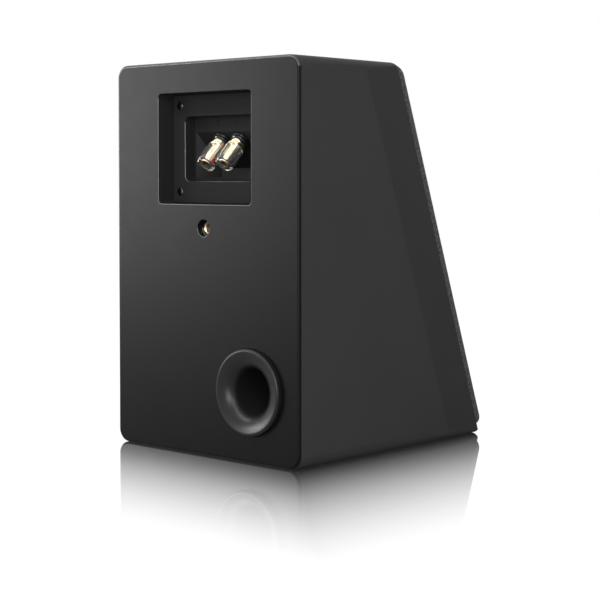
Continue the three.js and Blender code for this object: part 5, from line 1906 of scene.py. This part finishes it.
class Inside:
    """The working model's own nodes that stay as they are, with a finish each."""

    def build(self) -> None:
        """Dresses every node that no piece has replaced."""
        by_node = {part["node"]: part["material_slot"] for part in frame["record"]["subparts"]}
        hidden = {node for piece in bpy.data.objects for node in piece.get("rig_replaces", [])}
        for node, slot in by_node.items():
            if node in hidden:
                continue
            chosen = self.special(node, Slot(slot))
            for held in bpy.data.objects[node].material_slots:
                held.material = chosen
            LOG.info("%s keeps its shape and gets %s", node, chosen.name)

    @staticmethod
    def special(node: str, slot: Slot) -> bpy.types.Material:
        """Gives a winding its rings round its own axis, the backing frame a near-black board that darkens the
        seam round the plate, and any other node its slot's material.
        """
        # The backing frame takes a near-black board, which darkens the seam round the plate.
        if node == "terminal_backing_frame":
            return DARKENED_FRAME
        if slot is not Slot.COPPER:
            return MATERIALS[slot]
        axis = Vector((0, 0, 1)) if "inductor" in node else OUT
        return variant(Slot.COPPER, f"copper_wire_{node}", place=axes(middle(node), SIDE, axis))


# ---------------------------------------------------------------- studio


WHITE = (*grey(1), 1)


@dataclass
class Studio:
    """The pale floor, the soft lights and the camera."""

    focal: float = 92.45
    sensor: float = 36.0
    azimuth: float = 222.457
    pitch: float = 2.292
    shift: float = -0.106
    camera_at: Sequence[float] = (-0.8138, 0.8936, 0.2064)
    rim_at: Sequence[float] = (-1.63, -1.12, 0.25)
    fill: float = 0.32  # how strong the white from all round is
    floor_size: float = 14.0
    mirror_reach: float = 0.205
    mirror_fade: Sequence[Point] = (
        (0, 0.988), (0.078, 0.945), (0.151, 0.885), (0.224, 0.805), (0.366, 0.63),
        (0.502, 0.47), (0.624, 0.335), (0.741, 0.225), (0.849, 0.145), (0.946, 0.10),
    )

    def build(self) -> None:
        """Sets up the studio."""
        self.build_camera()
        self.build_world()
        self.build_floor()
        self.build_lights()
        bpy.context.scene.view_settings.view_transform = "Standard"

    def build_camera(self) -> None:
        """Sets the camera behind the speaker, a little above the floor."""
        data = bpy.data.cameras.new("camera")
        data.lens = self.focal
        data.sensor_width = self.sensor
        data.shift_y = self.shift
        data.clip_start = 0.01
        camera = bpy.data.objects.new("camera", data)
        turn, tilt = math.radians(self.azimuth), math.radians(self.pitch)
        ahead = Vector((-math.sin(turn) * math.cos(tilt), math.cos(turn) * math.cos(tilt), -math.sin(tilt)))
        camera.rotation_euler = ahead.to_track_quat("-Z", "Y").to_euler()
        camera.location = self.camera_at
        bpy.context.scene.collection.objects.link(camera)
        bpy.context.scene.camera = camera

    @staticmethod
    def seen(sheet: Sheet) -> bpy.types.NodeSocket:
        """Gives 1 on camera, glossy and transmission rays."""
        path = sheet.add("ShaderNodeLightPath")
        glossy = sheet.math("MAXIMUM", path.outputs["Is Camera Ray"], path.outputs["Is Glossy Ray"])
        return sheet.math("MAXIMUM", glossy, path.outputs["Is Transmission Ray"])

    def build_world(self) -> None:
        """Makes the background white, and the light from all round softer than that."""
        world = bpy.data.worlds.new("studio")
        bpy.context.scene.world = world
        sheet = blank_sheet(world)
        white = sheet.add("ShaderNodeBackground", {"Color": WHITE, "Strength": 1.0})
        fill = sheet.add("ShaderNodeBackground", {"Color": WHITE, "Strength": self.fill})
        mix = sheet.add("ShaderNodeMixShader", {0: self.seen(sheet), 1: fill.outputs[0], 2: white.outputs[0]})
        sheet.add("ShaderNodeOutputWorld", {0: mix.outputs[0]})

    def build_floor(self) -> None:
        """Lays a polished white floor whose reflection fades away from the speaker."""
        clear_selection()
        bpy.ops.mesh.primitive_plane_add(size=self.floor_size, location=(0, 0, SHELL_LOW.z - 0.1 * MM))
        floor = placed(named("floor"), None)
        made = bpy.data.materials.new("floor")
        sheet = blank_sheet(made)
        plain = sheet.add("ShaderNodeBsdfDiffuse", {"Color": (*grey(0.5), 1)})
        part = sheet.add("ShaderNodeBsdfDiffuse", {"Color": (*grey(0.18), 1)})
        glow = sheet.add("ShaderNodeEmission", {"Color": WHITE, "Strength": 0.95})
        bright = sheet.add("ShaderNodeAddShader", {0: part.outputs[0], 1: glow.outputs[0]})
        camera_ray = sheet.add("ShaderNodeLightPath").outputs["Is Camera Ray"]
        pale = sheet.add("ShaderNodeMixShader", {0: camera_ray, 1: plain.outputs[0], 2: bright.outputs[0]})
        mirror = sheet.add("ShaderNodeBsdfGlossy", {"Color": WHITE, "Roughness": 0.0})
        share = sheet.math("MULTIPLY", self.mirror_share(sheet), camera_ray)
        mix = sheet.add("ShaderNodeMixShader", {0: share, 1: pale.outputs[0], 2: mirror.outputs[0]})
        sheet.add("ShaderNodeOutputMaterial", {"Surface": mix.outputs[0]})
        floor.data.materials.append(made)

    def mirror_share(self, sheet: Sheet) -> bpy.types.NodeSocket:
        """Gives how much the floor mirrors at each place, fading with the distance."""
        source = sheet.add("ShaderNodeTexCoord")
        parts = sheet.add("ShaderNodeSeparateXYZ", {0: source.outputs["Object"]})
        middle_y = (SHELL_LOW.y + BACK_Y) / 2
        half_y = (BACK_Y - SHELL_LOW.y) / 2
        from_side = sheet.math("SUBTRACT", sheet.math("ABSOLUTE", parts.outputs[0]), WIDTH / 2)
        across = sheet.math("SUBTRACT", parts.outputs[1], middle_y)
        from_end = sheet.math("SUBTRACT", sheet.math("ABSOLUTE", across), half_y)
        away = sheet.math("MAXIMUM", from_side, from_end)
        ramp = sheet.add("ShaderNodeValToRGB", {0: sheet.math("DIVIDE", away, self.mirror_reach)})
        stops = ramp.color_ramp.elements
        for index, (share, level) in enumerate(self.mirror_fade):
            stop = stops[index] if index < len(stops) - 1 else stops.new(share)
            stop.position = share
            stop.color = (*grey(level), 1)
        stops[len(stops) - 1].color = (*grey(0), 1)
        return ramp.outputs[0]

    @staticmethod
    def softbox(name: str, at: Sequence[float], aim: Sequence[float], size: Point, power: float) -> None:
        """Hangs one soft light.

        Args:
            name: The light's name.
            at: Where it hangs.
            aim: The point that it faces.
            size: Its width and height.
            power: Its power in watts.
        """
        data = bpy.data.lights.new(name, "AREA")
        data.shape = "RECTANGLE"
        data.size, data.size_y = size
        data.energy = power
        lamp = bpy.data.objects.new(name, data)
        lamp.location = at
        lamp.rotation_euler = (Vector(aim) - Vector(at)).to_track_quat("-Z", "Y").to_euler()
        lamp.visible_camera = False
        bpy.context.scene.collection.objects.link(lamp)

    def build_lights(self) -> None:
        """Hangs the key and the top light behind, two more near the camera and a faint one at the front."""
        target = Vector((0, BACK_Y, 0.75 * HEIGHT))
        self.softbox("key", self.away(target, 36, 5, 2.2), target, (0.75, 0.75), 24)
        self.softbox("top", self.away(target, 77, 50, 1.8), target, (2.9, 0.5), 27)
        self.softbox("front", self.away(target, 133, 24, 1.9), target, (0.8, 0.75), 10)
        low = Vector((-WIDTH / 2, 0, 0.35 * HEIGHT))
        self.softbox("side", self.away(low, 111, 6, 2.1), low, (0.9, 0.8), 24)
        self.softbox("rim", self.rim_at, low, (1.2, 0.6), 4)

    @staticmethod
    def away(target: Vector, azimuth: float, elevation: float, distance: float) -> Vector:
        """Gives the point at an azimuth, an elevation and a distance from a target."""
        turn, rise = math.radians(azimuth), math.radians(elevation)
        flat = math.cos(rise)
        return target + distance * Vector((math.cos(turn) * flat, math.sin(turn) * flat, math.sin(rise)))


def main() -> None:
    """Builds the speaker, its inside and the studio, in that order."""
    logging.basicConfig(level=logging.INFO, format="%(name)s: %(message)s")
    Studio().build()
    builders = [
        Cabinet(),
        BackPanel(),
        TerminalPlate(),
        Post("plus"),
        Post("minus"),
        Insert(),
        Port(),
        Woofer(),
        Tweeter(),
        GrilleCup(),
        Grille(),
        Inside(),
    ]
    for builder in builders:
        builder.build()
    clear_selection()


if __name__ == "__main__":
    main()
